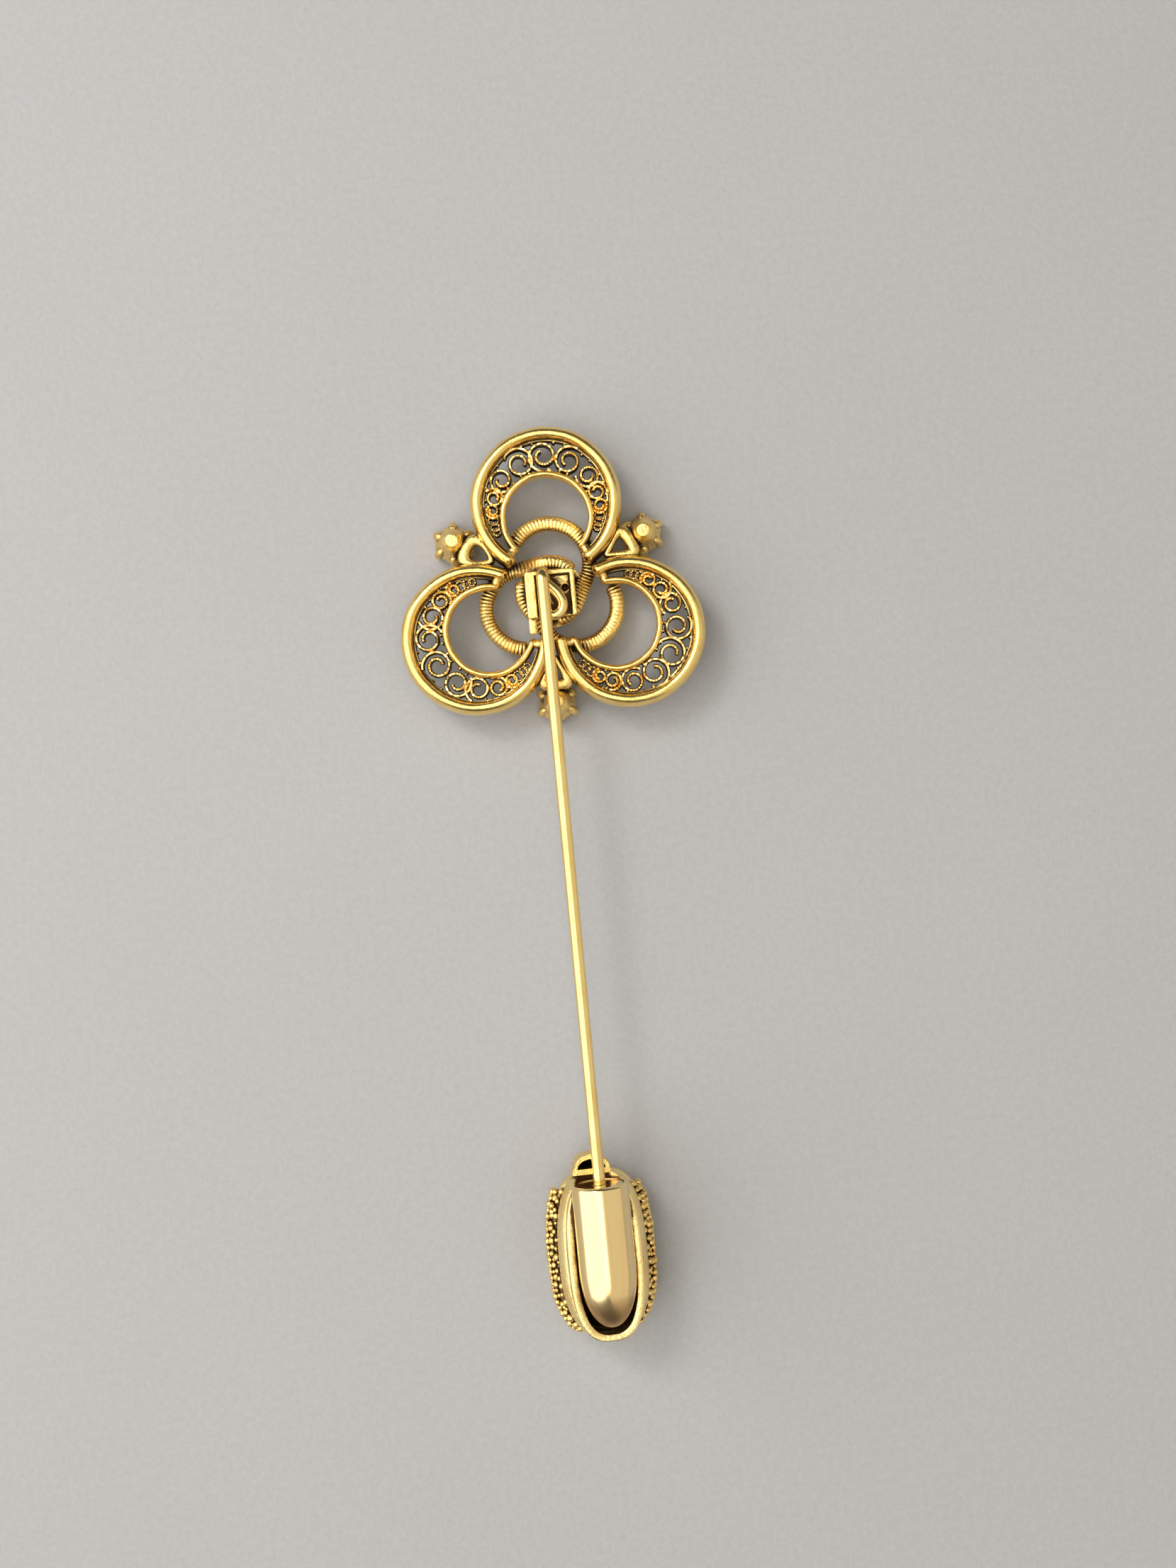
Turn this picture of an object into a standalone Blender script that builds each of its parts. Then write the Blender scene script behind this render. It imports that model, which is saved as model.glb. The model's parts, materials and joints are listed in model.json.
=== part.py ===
"""Filigree jabot pin: a trefoil head, a long stem and a bullet clutch set in a cast ornament.

The back of the pin faces +Z and its front rests on z = 0. The stem runs along Y, with the head
towards +Y. The origin is the centre of the underside of the pin's bounding box.
"""
import math

import bmesh
import bpy
from mathutils import Matrix, Vector

MM = 0.001

# Gaps between pieces
CLEARANCE = 0.04 * MM            # between pieces that are soldered together
RUNNING_FIT = 0.03 * MM          # round the stem, in the clutch

# Head: three horseshoe lobes
HEAD_TURN = math.radians(-2.2)   # the head sits a little askew on its stem
LOBE_ANGLES = [HEAD_TURN + math.radians(a) for a in (90, 210, 330)]
LOBE_RADIUS = 6.42 * MM          # to the outer edge of the outer rim
RIM_WIDTH = 1.25 * MM
RIM_HEIGHT = 2.20 * MM
RIM_CROWN = 0.80 * MM            # height of the rounded back of the rim
RIM_FRONT_Z = 2.70 * MM
RIM_END_REACH = 3.888 * MM       # from the middle of the head to where the rim's middle line ends
HOLE_RADIUS = 3.45 * MM
HOLE_OFFSET = 1.32 * MM          # of the hole's centre, towards the middle of the head
INNER_RIM_WIDTH = 0.55 * MM
INNER_RIM_HEIGHT = 1.75 * MM
INNER_RIM_CROWN = 0.25 * MM
INNER_RIM_END_REACH = 4.256 * MM # likewise, for the inner rims

# Filigree scrolls between the two rims
SCROLLS_EACH_WAY = 4             # on both sides of the one at the lobe's far end
SCROLL_WIRE = 0.26 * MM
SCROLL_RISE = 0.30 * MM          # of the wire's axis above the front of the rims
SCROLL_FILL = 0.92               # share of the band's width that a scroll takes

# Knot: three ribbed arms that cross the lobes and meet in the middle
ARM_WIDTH = 1.35 * MM
ARM_THICKNESS = 1.35 * MM
ARM_RADIUS = 3.40 * MM
ARM_CENTRE = 2.50 * MM           # from the middle of the head
ARM_START = math.radians(60)     # before the lobe's direction
HUB_RING_RADIUS = 2.40 * MM
ARM_RISE = 1.70 * MM             # from the lobe to the hub, towards the back
ARM_RISE_START = math.radians(-102)
ARM_STEPS = 22

# Hub: a domed boss in front, and a back plate that carries the stem
BOSS_RADIUS = 2.90 * MM
BOSS_FRONT_Z = 0.15 * MM
BOSS_HEIGHT = 1.00 * MM
PLATE_WIDTH = 4.20 * MM
PLATE_LENGTH = 4.00 * MM
PLATE_SHIFT_Y = -0.35 * MM
PLATE_THICKNESS = 0.80 * MM
PLATE_EDGE_WIDTH = 0.45 * MM
PLATE_EDGE_HEIGHT = 0.30 * MM
PLATE_BAR_WIDTH = 0.90 * MM
PLATE_HOLE_DIAMETER = 0.42 * MM
PLATE_HOLE_AT = (1.24 * MM, 0.06 * MM)
STALK_WIDTH = 0.70 * MM
STALK_LENGTH = 1.30 * MM
STALK_THICKNESS = 0.35 * MM

# Claw settings between the lobes, with a stone in each
STONE_DIAMETER = 2.40 * MM
STONE_TABLE = 0.58               # table width over the stone's width
STONE_CULET = 0.06               # the blunt end of its back, over its width
STONE_GIRDLE = 0.06 * MM
STONE_CROWN = 0.55 * MM
STONE_PAVILION = 1.10 * MM
CLAWS = 6
CLAW_WALL = 0.55 * MM
CLAW_LENGTH = 0.95 * MM
CLAW_LEAN = 0.95                 # a claw's tip leans in over its root by this share
SETTING_STANDOFF = 1.85 * MM     # of the setting beyond the lobes' centres
SETTING_HEIGHT = 4.40 * MM
SETTING_BACK_RADIUS = 0.60 * MM
SETTING_WAIST_RADIUS = 1.15 * MM
SETTING_OUTSIDE = [              # back to front: claw and valley over the waist's radius, share of the height
    (0.86, 0.80, 0.86), (1.00, 0.92, 0.66),
]
CLAW_HALF_WIDTH = 0.18           # radians round the setting
VALLEY_TURNS = (0.36, 0.69)      # where a valley starts and ends, in radians from its claw's middle
BRACKET_RISE = 0.20 * MM         # above the front of the rims
BRACKET_THICKNESS = 1.20 * MM
BRACKET_WIDTH = 0.48 * MM
BRACKET_TIP = 0.12 * MM          # half its width where it starts between the lobes

# Stem: one wire, with a bend and a flat foot loop at the head
STEM_DIAMETER = 1.00 * MM
STEM_OFFSET_X = -0.56 * MM
STEM_TOP_Y = 1.95 * MM
STEM_LENGTH = 59.35 * MM
STEM_POINT = 3.00 * MM
BEND_RADIUS = 0.72 * MM
FOOT_WIRE = 0.84                 # thickness of the flattened foot over the stem's diameter
FOOT_DRIFT = 0.18 * MM           # sideways, from the stem to the foot
FOOT_LOOP = [                    # teardrop, from the lower end of the bend, in mm
    (0.36, -0.42), (0.92, -1.02), (1.30, -1.86), (1.10, -2.62), (0.42, -2.90), (-0.12, -2.44), (0.02, -1.84),
]

# Clutch
STEM_IN_CLUTCH = 8.00 * MM
CLUTCH_DIAMETER = 4.76 * MM
CLUTCH_LENGTH = 11.90 * MM
CLUTCH_WALL = 0.35 * MM
CLUTCH_NOSE = 5.20 * MM
CLUTCH_EDGE = 0.30 * MM
WASHER_THICKNESS = 0.45 * MM
WASHER_RECESS = 0.08 * MM
SLEEVE_LENGTH = 5.00 * MM
SLEEVE_WALL = 0.34 * MM
SLEEVE_FLANGE = 0.40 * MM
SLEEVE_SLIT = 0.22 * MM

# Cast ornament round the clutch
CLUTCH_ROLL = math.radians(6)    # the clutch lies turned a little on the stem
ORNAMENT_LIFT = 0.06 * MM        # of its front off the rest plane
ORNAMENT_SHAPE = 2.8             # exponent of its outline, between an oval and a rectangle
ORNAMENT_WALL = 0.56 * MM
ORNAMENT_FLARE = 1.10 * MM       # of the flanks beyond the rim
ORNAMENT_NOSE_GAP = 0.75 * MM
ORNAMENT_TOP = 0.60 * MM         # of the flanks beyond the clutch's mouth
ORNAMENT_RIM_DROP = 0.40 * MM    # of the rim below the clutch's axis
ORNAMENT_GIRTH_DROP = 4.00 * MM  # of the widest level below the clutch's axis
BEADING_WIRE = 0.50 * MM
BEADING_PITCH = 0.62 * MM
FINIAL_WIDTH = 3.40 * MM
FINIAL_LENGTH = 1.75 * MM
FINIAL_WALL = 0.45 * MM
FINIAL_SHIFT_X = -0.45 * MM
FINIAL_OUTSIDE = [(0.40, 0.45, 0.0), (0.85, 0.84, 0.30), (1.0, 1.0, 0.70), (0.94, 0.95, 1.0)]
FINIAL_INSIDE = [(0.94, 0.95, 1.0), (0.90, 0.92, 0.70), (0.55, 0.50, 0.34)]  # width, length and height shares

# Worked out from the values above
LOBE_REACH = (LOBE_RADIUS + CLEARANCE) / math.sin(math.radians(60))
HOLE_REACH = LOBE_REACH - HOLE_OFFSET
SETTING_REACH = LOBE_REACH + SETTING_STANDOFF
RIM_RADIUS = LOBE_RADIUS - RIM_WIDTH / 2
INNER_RIM_RADIUS = HOLE_RADIUS + INNER_RIM_WIDTH / 2
RIM_BACK_Z = RIM_FRONT_Z + RIM_HEIGHT
ARM_BACK_Z = RIM_FRONT_Z - CLEARANCE
HUB_BACK_Z = ARM_BACK_Z + ARM_RISE
PLATE_FRONT_Z = HUB_BACK_Z + CLEARANCE
PLATE_BACK_Z = PLATE_FRONT_Z + PLATE_THICKNESS
FOOT_DIAMETER = STEM_DIAMETER * FOOT_WIRE
FOOT_Z = PLATE_BACK_Z + PLATE_EDGE_HEIGHT + CLEARANCE + FOOT_DIAMETER / 2
STEM_Z = FOOT_Z + 2 * BEND_RADIUS
STEM_TIP_Y = STEM_TOP_Y - STEM_LENGTH
MOUTH_Y = STEM_TIP_Y + STEM_IN_CLUTCH
CLUTCH_RADIUS = CLUTCH_DIAMETER / 2
GOLD = (0.86, 0.60, 0.22)
OLD_GOLD = (0.66, 0.43, 0.15)
PALE_GOLD = (0.80, 0.68, 0.45)


# ---------------------------------------------------------------------------
# Tools
# ---------------------------------------------------------------------------

def clear_scene():
    for obj in list(bpy.data.objects):
        bpy.data.objects.remove(obj, do_unlink=True)


def finish_material(name, colour, roughness, metallic=1.0):
    material = bpy.data.materials.new(name)
    material.use_nodes = True
    shader = material.node_tree.nodes["Principled BSDF"]
    shader.inputs["Base Color"].default_value = (*colour, 1.0)
    shader.inputs["Roughness"].default_value = roughness
    shader.inputs["Metallic"].default_value = metallic
    return material


def add_empty(name, location, parent=None, turn=0.0):
    """An empty on a joint's axis; turn is about the stem's direction."""
    empty = bpy.data.objects.new(name, None)
    bpy.context.collection.objects.link(empty)
    empty.location = location
    empty.rotation_euler = (0.0, turn, 0.0)
    empty.parent = parent
    return empty


def add_piece(name, bm, material, parent):
    """Turns a bmesh into a named object with outward faces and smooth round sides."""
    bmesh.ops.recalc_face_normals(bm, faces=bm.faces)
    mesh = bpy.data.meshes.new(name)
    bm.to_mesh(mesh)
    bm.free()
    mesh.materials.append(material)
    mesh.shade_smooth()
    mesh.set_sharp_from_angle(angle=math.radians(35))
    obj = bpy.data.objects.new(name, mesh)
    bpy.context.collection.objects.link(obj)
    obj.parent = parent
    return obj


def cut(obj, cutter):
    """Subtracts a cutter, which stays in the scene as a hidden guide."""
    cutter.hide_render = True
    cutter.display_type = "WIRE"
    modifier = obj.modifiers.new("cut_" + cutter.name, "BOOLEAN")
    modifier.operation = "DIFFERENCE"
    modifier.solver = "EXACT"
    modifier.object = cutter


def loft(rings, closed=False):
    """Skins equal rings of points; open ends are capped, a closed run joins its last to its first."""
    bm = bmesh.new()
    loops = [[bm.verts.new(point) for point in ring] for ring in rings]
    count = len(loops[0])
    pairs = list(zip(loops, loops[1:] + loops[:1])) if closed else list(zip(loops, loops[1:]))
    for lower, upper in pairs:
        for i in range(count):
            j = (i + 1) % count
            bm.faces.new((lower[i], lower[j], upper[j], upper[i]))
    if not closed:
        bm.faces.new(loops[0])
        bm.faces.new(loops[-1])
    return bm


def arc(centre, radius, start, end, steps):
    """Points on an arc in the XY plane, from start to end."""
    return [
        Vector((
            centre[0] + radius * math.cos(start + (end - start) * i / steps),
            centre[1] + radius * math.sin(start + (end - start) * i / steps),
            0.0,
        ))
        for i in range(steps + 1)
    ]


def flat_sweep(path, section, heights=None, closed=False):
    """Sweeps a section of (right of the path, up) pairs along a path that lies flat."""
    rings = []
    last = len(path) - 1
    for i, point in enumerate(path):
        if closed:
            along = path[(i + 1) % len(path)] - path[i - 1]
        else:
            along = path[min(i + 1, last)] - path[max(i - 1, 0)]
        right = Vector((along.y, -along.x, 0.0)).normalized()
        lift = heights[i] if heights else 0.0
        rings.append([point + right * side + Vector((0, 0, up + lift)) for side, up in section])
    return loft(rings, closed)


def tube(path, radii, sides):
    """A round wire along a path in space, with one radius for each point."""
    rings = []
    last = len(path) - 1
    normal = None
    for i, point in enumerate(path):
        along = (path[min(i + 1, last)] - path[max(i - 1, 0)]).normalized()
        if normal is None:
            normal = along.cross(Vector((0.0, 0.0, 1.0)))
            if normal.length < 0.5:
                normal = along.cross(Vector((1.0, 0.0, 0.0)))
        normal = (normal - along * normal.dot(along)).normalized()
        other = along.cross(normal)
        rings.append([
            point
            + normal * radii[i] * math.cos(2 * math.pi * k / sides)
            + other * radii[i] * math.sin(2 * math.pi * k / sides)
            for k in range(sides)
        ])
    return loft(rings)


def turned(profile, sides):
    """Turns (radius, along Y) pairs about the Y axis; a closed profile makes a ring."""
    rings = [
        [
            Vector((r * math.cos(2 * math.pi * k / sides), y, r * math.sin(2 * math.pi * k / sides)))
            for k in range(sides)
        ]
        for r, y in profile
    ]
    return loft(rings, closed=True)


def smooth_path(points, steps):
    """Catmull-Rom curve through the given points."""
    ends = [points[0] * 2 - points[1]] + list(points) + [points[-1] * 2 - points[-2]]
    path = []
    for a, b, c, d in zip(ends, ends[1:], ends[2:], ends[3:]):
        for i in range(steps):
            t = i / steps
            path.append(0.5 * (
                2 * b + (c - a) * t + (2 * a - 5 * b + 4 * c - d) * t ** 2
                + (3 * b - a - 3 * c + d) * t ** 3
            ))
    path.append(points[-1].copy())
    return path


def turn_about_z(bm, angle):
    bmesh.ops.rotate(bm, verts=bm.verts, cent=(0, 0, 0), matrix=Matrix.Rotation(angle, 3, "Z"))


def box(low, high):
    bm = bmesh.new()
    bmesh.ops.create_cube(bm, size=1.0)
    size = Vector(high) - Vector(low)
    bmesh.ops.scale(bm, vec=size, verts=bm.verts)
    bmesh.ops.translate(bm, vec=(Vector(low) + Vector(high)) / 2, verts=bm.verts)
    return bm


# ---------------------------------------------------------------------------
# Head
# ---------------------------------------------------------------------------

def crowned_section(width, height, crown, steps):
    """A strip that is flat in front, with a rounded back; the front is at zero height."""
    taper = 0.08 * width
    section = [(width / 2 - taper, 0.0), (-width / 2 + taper, 0.0)]
    for i in range(steps + 1):
        angle = math.pi - math.pi * i / steps
        section.append((width / 2 * math.cos(angle), height - crown + crown * math.sin(angle)))
    return section


def rim_span(centre, radius, end_reach):
    """Angle, each way from the lobe's far end, at which a rim is end_reach from the middle of the head."""
    return math.acos((end_reach ** 2 - centre ** 2 - radius ** 2) / (2 * centre * radius))


def make_outer_rim(number, angle, gold, head):
    section = crowned_section(RIM_WIDTH, RIM_HEIGHT, RIM_CROWN, 5)
    span = rim_span(LOBE_REACH, RIM_RADIUS, RIM_END_REACH)
    path = arc((LOBE_REACH, 0), RIM_RADIUS, -span, span, 38)
    bm = flat_sweep(path, section, [RIM_FRONT_Z] * len(path))
    turn_about_z(bm, angle)
    add_piece(f"outer_rim_{number}", bm, gold, head)


def make_inner_rim(number, angle, gold, head):
    section = crowned_section(INNER_RIM_WIDTH, INNER_RIM_HEIGHT, INNER_RIM_CROWN, 4)
    span = rim_span(HOLE_REACH, INNER_RIM_RADIUS, INNER_RIM_END_REACH)
    path = arc((HOLE_REACH, 0), INNER_RIM_RADIUS, -span, span, 30)
    bm = flat_sweep(path, section, [RIM_FRONT_Z] * len(path))
    turn_about_z(bm, angle)
    add_piece(f"inner_rim_{number}", bm, gold, head)


def band_at(angle):
    """Middle radius and width of the filigree band, seen from midway between the rims' centres."""
    half = HOLE_OFFSET / 2
    outer_edge = LOBE_RADIUS - RIM_WIDTH
    inner_edge = HOLE_RADIUS + INNER_RIM_WIDTH
    outside = half * math.cos(angle) + math.sqrt(outer_edge ** 2 - (half * math.sin(angle)) ** 2)
    inside = -half * math.cos(angle) + math.sqrt(inner_edge ** 2 - (half * math.sin(angle)) ** 2)
    return (outside + inside) / 2, outside - inside


def scroll_angles():
    """Places scrolls side by side along the band, from its middle towards one end."""
    angles = [0.0]
    for _ in range(SCROLLS_EACH_WAY):
        middle, width = band_at(angles[-1])
        step = width * SCROLL_FILL / middle
        narrower = band_at(angles[-1] + step)[1]
        angles.append(angles[-1] + (width + narrower) / 2 * SCROLL_FILL / middle)
    return angles


def scroll_path(radius):
    """A spiral that starts on its outside and curls in to an eye."""
    pitch = SCROLL_WIRE * 1.35
    eye = max(radius * 0.42, SCROLL_WIRE * 0.75)
    turns = max(0.80, min(1.60, (radius - eye) / pitch))
    steps = 14
    path = []
    for i in range(steps + 1):
        t = i / steps
        r = radius + (eye - radius) * t
        a = 2 * math.pi * turns * t
        path.append(Vector((-r * math.cos(a), r * math.sin(a), 0.0)))
    return path


def make_scrolls(number, lobe_angle, gold, head):
    angles = scroll_angles()
    places = [-a for a in reversed(angles[1:])] + angles
    for index, place in enumerate(places, start=1):
        middle, width = band_at(place)
        radius = (width * SCROLL_FILL - SCROLL_WIRE) / 2 - CLEARANCE
        path = scroll_path(radius)
        bm = tube(path, [SCROLL_WIRE / 2] * len(path), 4)
        if place < 0:
            bmesh.ops.scale(bm, vec=(1, -1, 1), verts=bm.verts)
        turn_about_z(bm, place)
        centre = Vector((
            LOBE_REACH - HOLE_OFFSET / 2 + middle * math.cos(place),
            middle * math.sin(place),
            RIM_FRONT_Z + SCROLL_RISE,
        ))
        bmesh.ops.translate(bm, vec=centre, verts=bm.verts)
        turn_about_z(bm, lobe_angle)
        add_piece(f"scroll_{number}_{index}", bm, gold, head)


def arm_plan():
    """Angle at which an arm leaves its arc, and how far it follows the hub before the next arm."""
    leave = -math.acos((HUB_RING_RADIUS - ARM_RADIUS) / ARM_CENTRE)
    next_centre = Vector((
        ARM_CENTRE * math.cos(math.radians(-120)), ARM_CENTRE * math.sin(math.radians(-120)), 0,
    ))
    room = ARM_RADIUS - ARM_WIDTH / 2 - 2 * CLEARANCE
    outside = HUB_RING_RADIUS + ARM_WIDTH / 2
    sweep = 0.0
    while sweep < math.radians(100):
        at = leave - sweep
        corner = Vector((outside * math.cos(at), outside * math.sin(at), 0))
        if (corner - next_centre).length > room:
            break
        sweep += math.radians(1)
    return leave, sweep


def make_arm(number, angle, gold, head):
    """An arm lies in front of the rims, and rises to the hub once it has passed them."""
    leave, sweep = arm_plan()
    over = arc((ARM_CENTRE, 0), ARM_RADIUS, ARM_START, leave, ARM_STEPS)
    round_hub = arc((0, 0), HUB_RING_RADIUS, leave, leave - sweep, 8)
    between = [over[-1].lerp(round_hub[0], i / 5) for i in range(1, 5)]
    path = over + between + round_hub
    rise_point = Vector((
        ARM_CENTRE + ARM_RADIUS * math.cos(ARM_RISE_START), ARM_RADIUS * math.sin(ARM_RISE_START), 0,
    ))
    rise = round_hub[0] - rise_point
    heights = []
    for i, point in enumerate(path):
        turned_to = ARM_START + (leave - ARM_START) * i / ARM_STEPS
        share = min(1.0, max(0.0, (point - rise_point).dot(rise) / rise.length_squared))
        if turned_to > ARM_RISE_START:
            share = 0.0
        if i > len(over) + len(between):
            share = 1.0
        heights.append(ARM_BACK_Z - ARM_THICKNESS + ARM_RISE * share * share * (3 - 2 * share))
    section = []
    for k in range(8):
        turn = math.pi / 8 + math.pi * k / 4
        section.append((
            ARM_WIDTH / 2 * math.cos(turn) / math.cos(math.pi / 8),
            ARM_THICKNESS / 2 * (1 + math.sin(turn) / math.cos(math.pi / 8)),
        ))
    bm = flat_sweep(path, section, heights)
    turn_about_z(bm, angle)
    add_piece(f"knot_arm_{number}", bm, gold, head)


def make_boss(gold, head):
    """Front dome, with a core that passes between the arms to the back plate."""
    core = HUB_RING_RADIUS - ARM_WIDTH / 2 - CLEARANCE
    dome_back = ARM_BACK_Z - ARM_THICKNESS - CLEARANCE
    dome_front = BOSS_FRONT_Z
    levels = [
        (BOSS_RADIUS * 0.30, dome_front),
        (BOSS_RADIUS * 0.68, dome_front + 0.16 * (dome_back - dome_front)),
        (BOSS_RADIUS * 0.92, dome_front + 0.52 * (dome_back - dome_front)),
        (BOSS_RADIUS, dome_back),
        (core, dome_back),
        (core, HUB_BACK_Z - CLEARANCE),
    ]
    rings = [
        [Vector((r * math.cos(math.pi * k / 12), r * math.sin(math.pi * k / 12), z)) for k in range(24)]
        for r, z in levels
    ]
    add_piece("hub_boss", loft(rings), gold, head)


def make_plate(gold, head):
    """Square back plate with raised edges, a raised bar on its left and a stalk below."""
    left = -PLATE_WIDTH / 2
    right = PLATE_WIDTH / 2
    top = PLATE_SHIFT_Y + PLATE_LENGTH / 2
    bottom = PLATE_SHIFT_Y - PLATE_LENGTH / 2
    raised = PLATE_BACK_Z + PLATE_EDGE_HEIGHT
    stalk_front = max(RIM_BACK_Z, PLATE_FRONT_Z) + CLEARANCE
    columns = [left, left + PLATE_BAR_WIDTH, right - PLATE_EDGE_WIDTH, right]
    rows = [bottom, top - PLATE_EDGE_WIDTH, top]
    outline = [
        (left, bottom), (left + STALK_WIDTH, bottom), (columns[1], bottom), (columns[2], bottom),
        (right, bottom), (right, rows[1]), (right, top), (columns[2], top), (columns[1], top),
        (left, top), (left, rows[1]),
    ]
    bm = bmesh.new()
    front = {at: bm.verts.new((*at, PLATE_FRONT_Z)) for at in outline}
    bm.faces.new([front[at] for at in outline])
    heights = [[raised, PLATE_BACK_Z, raised], [raised, raised, raised]]
    back = {}

    def corner(column, row, z):
        key = (column, row, round(z, 9))
        if key not in back:
            back[key] = bm.verts.new((columns[column], rows[row], z))
        return back[key]

    for row in range(2):
        for column in range(3):
            z = heights[row][column]
            bm.faces.new([
                corner(column, row, z), corner(column + 1, row, z),
                corner(column + 1, row + 1, z), corner(column, row + 1, z),
            ])
    # Steps between the low field and the raised bar and edges
    for column in (1, 2):
        bm.faces.new([
            corner(column, 0, PLATE_BACK_Z), corner(column, 1, PLATE_BACK_Z),
            corner(column, 1, raised), corner(column, 0, raised),
        ])
    bm.faces.new([
        corner(1, 1, PLATE_BACK_Z), corner(2, 1, PLATE_BACK_Z), corner(2, 1, raised), corner(1, 1, raised),
    ])
    # Outer walls
    ring = [
        corner(0, 0, raised), None, corner(1, 0, raised), corner(1, 0, PLATE_BACK_Z),
        corner(2, 0, PLATE_BACK_Z), corner(2, 0, raised), corner(3, 0, raised), corner(3, 1, raised),
        corner(3, 2, raised), corner(2, 2, raised), corner(1, 2, raised), corner(0, 2, raised),
        corner(0, 1, raised),
    ]
    stalk_back = bm.verts.new((left + STALK_WIDTH, bottom, raised))
    ring[1] = stalk_back
    bar_face = next(face for face in bm.faces if ring[0] in face.verts and ring[2] in face.verts)
    verts = list(bar_face.verts)
    spot = next(
        i for i in range(len(verts)) if {verts[i], verts[(i + 1) % len(verts)]} == {ring[0], ring[2]}
    )
    verts.insert(spot + 1, stalk_back)
    bm.faces.remove(bar_face)
    bm.faces.new(verts)
    f = [front[at] for at in outline]
    walls = [
        [f[0], f[1], ring[1], ring[0]], [f[1], f[2], ring[3], ring[2], ring[1]],
        [f[2], f[3], ring[4], ring[3]], [f[3], f[4], ring[6], ring[5], ring[4]],
        [f[4], f[5], ring[7], ring[6]], [f[5], f[6], ring[8], ring[7]],
        [f[6], f[7], ring[9], ring[8]], [f[7], f[8], ring[10], ring[9]],
        [f[8], f[9], ring[11], ring[10]], [f[9], f[10], ring[12], ring[11]],
        [f[10], f[0], ring[0], ring[12]],
    ]
    for wall in walls:
        bm.faces.new(wall)
    plate = add_piece("hub_plate", bm, gold, head)
    strip = box(
        (left + CLEARANCE, bottom - STALK_LENGTH, stalk_front),
        (left + STALK_WIDTH, bottom + PLATE_EDGE_WIDTH, stalk_front + STALK_THICKNESS),
    )
    stalk = add_piece("stalk_guide", strip, gold, head)
    stalk.hide_render = True
    stalk.display_type = "WIRE"
    joined = plate.modifiers.new("stalk", "BOOLEAN")
    joined.operation = "UNION"
    joined.solver = "EXACT"
    joined.object = stalk
    drill = bmesh.new()
    bmesh.ops.create_cone(
        drill, cap_ends=True, segments=12, radius1=PLATE_HOLE_DIAMETER / 2,
        radius2=PLATE_HOLE_DIAMETER / 2, depth=4 * PLATE_THICKNESS,
    )
    bmesh.ops.translate(drill, vec=(*PLATE_HOLE_AT, PLATE_BACK_Z), verts=drill.verts)
    cut(plate, add_piece("plate_drill", drill, gold, head))


# ---------------------------------------------------------------------------
# Claw settings
# ---------------------------------------------------------------------------

def place_between_lobes(bm, angle):
    bmesh.ops.translate(bm, vec=(SETTING_REACH, 0, 0), verts=bm.verts)
    turn_about_z(bm, angle)


def claw_ring(claw_radius, valley_radius, z):
    """One level of the setting: two points on each claw and two in each valley."""
    points = []
    for claw in range(CLAWS):
        middle = 2 * math.pi * claw / CLAWS
        corners = [(-CLAW_HALF_WIDTH, claw_radius), (CLAW_HALF_WIDTH, claw_radius)]
        corners += [(turn, valley_radius) for turn in VALLEY_TURNS]
        for turn, radius in corners:
            points.append(Vector((radius * math.cos(middle + turn), radius * math.sin(middle + turn), z)))
    return points


def make_setting(number, angle, gold, head):
    seat_radius = STONE_DIAMETER / 2 + 2 * CLEARANCE
    girdle_z = CLAW_LENGTH
    outside = seat_radius + CLAW_WALL
    levels = [claw_ring(SETTING_BACK_RADIUS, SETTING_BACK_RADIUS, SETTING_HEIGHT)]
    for claw_share, valley_share, height_share in SETTING_OUTSIDE:
        waist = SETTING_WAIST_RADIUS
        levels.append(claw_ring(waist * claw_share, waist * valley_share, SETTING_HEIGHT * height_share))
    levels += [
        claw_ring(outside * 0.84, seat_radius * 0.98, SETTING_HEIGHT * 0.44),
        claw_ring(outside, seat_radius + 0.35 * CLAW_WALL, girdle_z),
        claw_ring(seat_radius, seat_radius, girdle_z),
        claw_ring(seat_radius * 0.45, seat_radius * 0.45, girdle_z + 0.66 * STONE_PAVILION),
        claw_ring(seat_radius * 0.20, seat_radius * 0.20, girdle_z + STONE_PAVILION + 3 * CLEARANCE),
    ]
    bm = loft(levels)
    bm.verts.ensure_lookup_table()
    per_level = 4 * CLAWS
    outer = 4 * per_level
    inner = 5 * per_level
    seats = []
    for claw in range(CLAWS):
        corners = [outer + 4 * claw, outer + 4 * claw + 1, inner + 4 * claw + 1, inner + 4 * claw]
        verts = {bm.verts[i] for i in corners}
        seats.append(next(face for vert in verts for face in vert.link_faces if set(face.verts) == verts))
    for claw_tip in bmesh.ops.extrude_discrete_faces(bm, faces=seats)["faces"]:
        for vert in claw_tip.verts:
            vert.co = Vector((vert.co.x * CLAW_LEAN, vert.co.y * CLAW_LEAN, 0.0))
    place_between_lobes(bm, angle)
    add_piece(f"crown_setting_{number}", bm, gold, head)


def make_stone(number, angle, glass, head):
    radius = STONE_DIAMETER / 2
    girdle_z = CLAW_LENGTH - CLEARANCE
    levels = [
        (radius * STONE_TABLE, girdle_z - STONE_CROWN),
        (radius, girdle_z - STONE_GIRDLE),
        (radius, girdle_z),
        (radius * STONE_CULET, girdle_z + STONE_PAVILION),
    ]
    rings = [
        [Vector((r * math.cos(math.pi * k / 6), r * math.sin(math.pi * k / 6), z)) for k in range(12)]
        for r, z in levels
    ]
    bm = loft(rings)
    place_between_lobes(bm, angle)
    add_piece(f"stone_{number}", bm, glass, head)


def half_gap(distance):
    """Half the gap between two lobes, at a distance from the head's middle."""
    across = LOBE_REACH * math.sin(math.radians(60))
    along = distance - LOBE_REACH * math.cos(math.radians(60))
    return across - math.sqrt(LOBE_RADIUS ** 2 - along ** 2)


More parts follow.
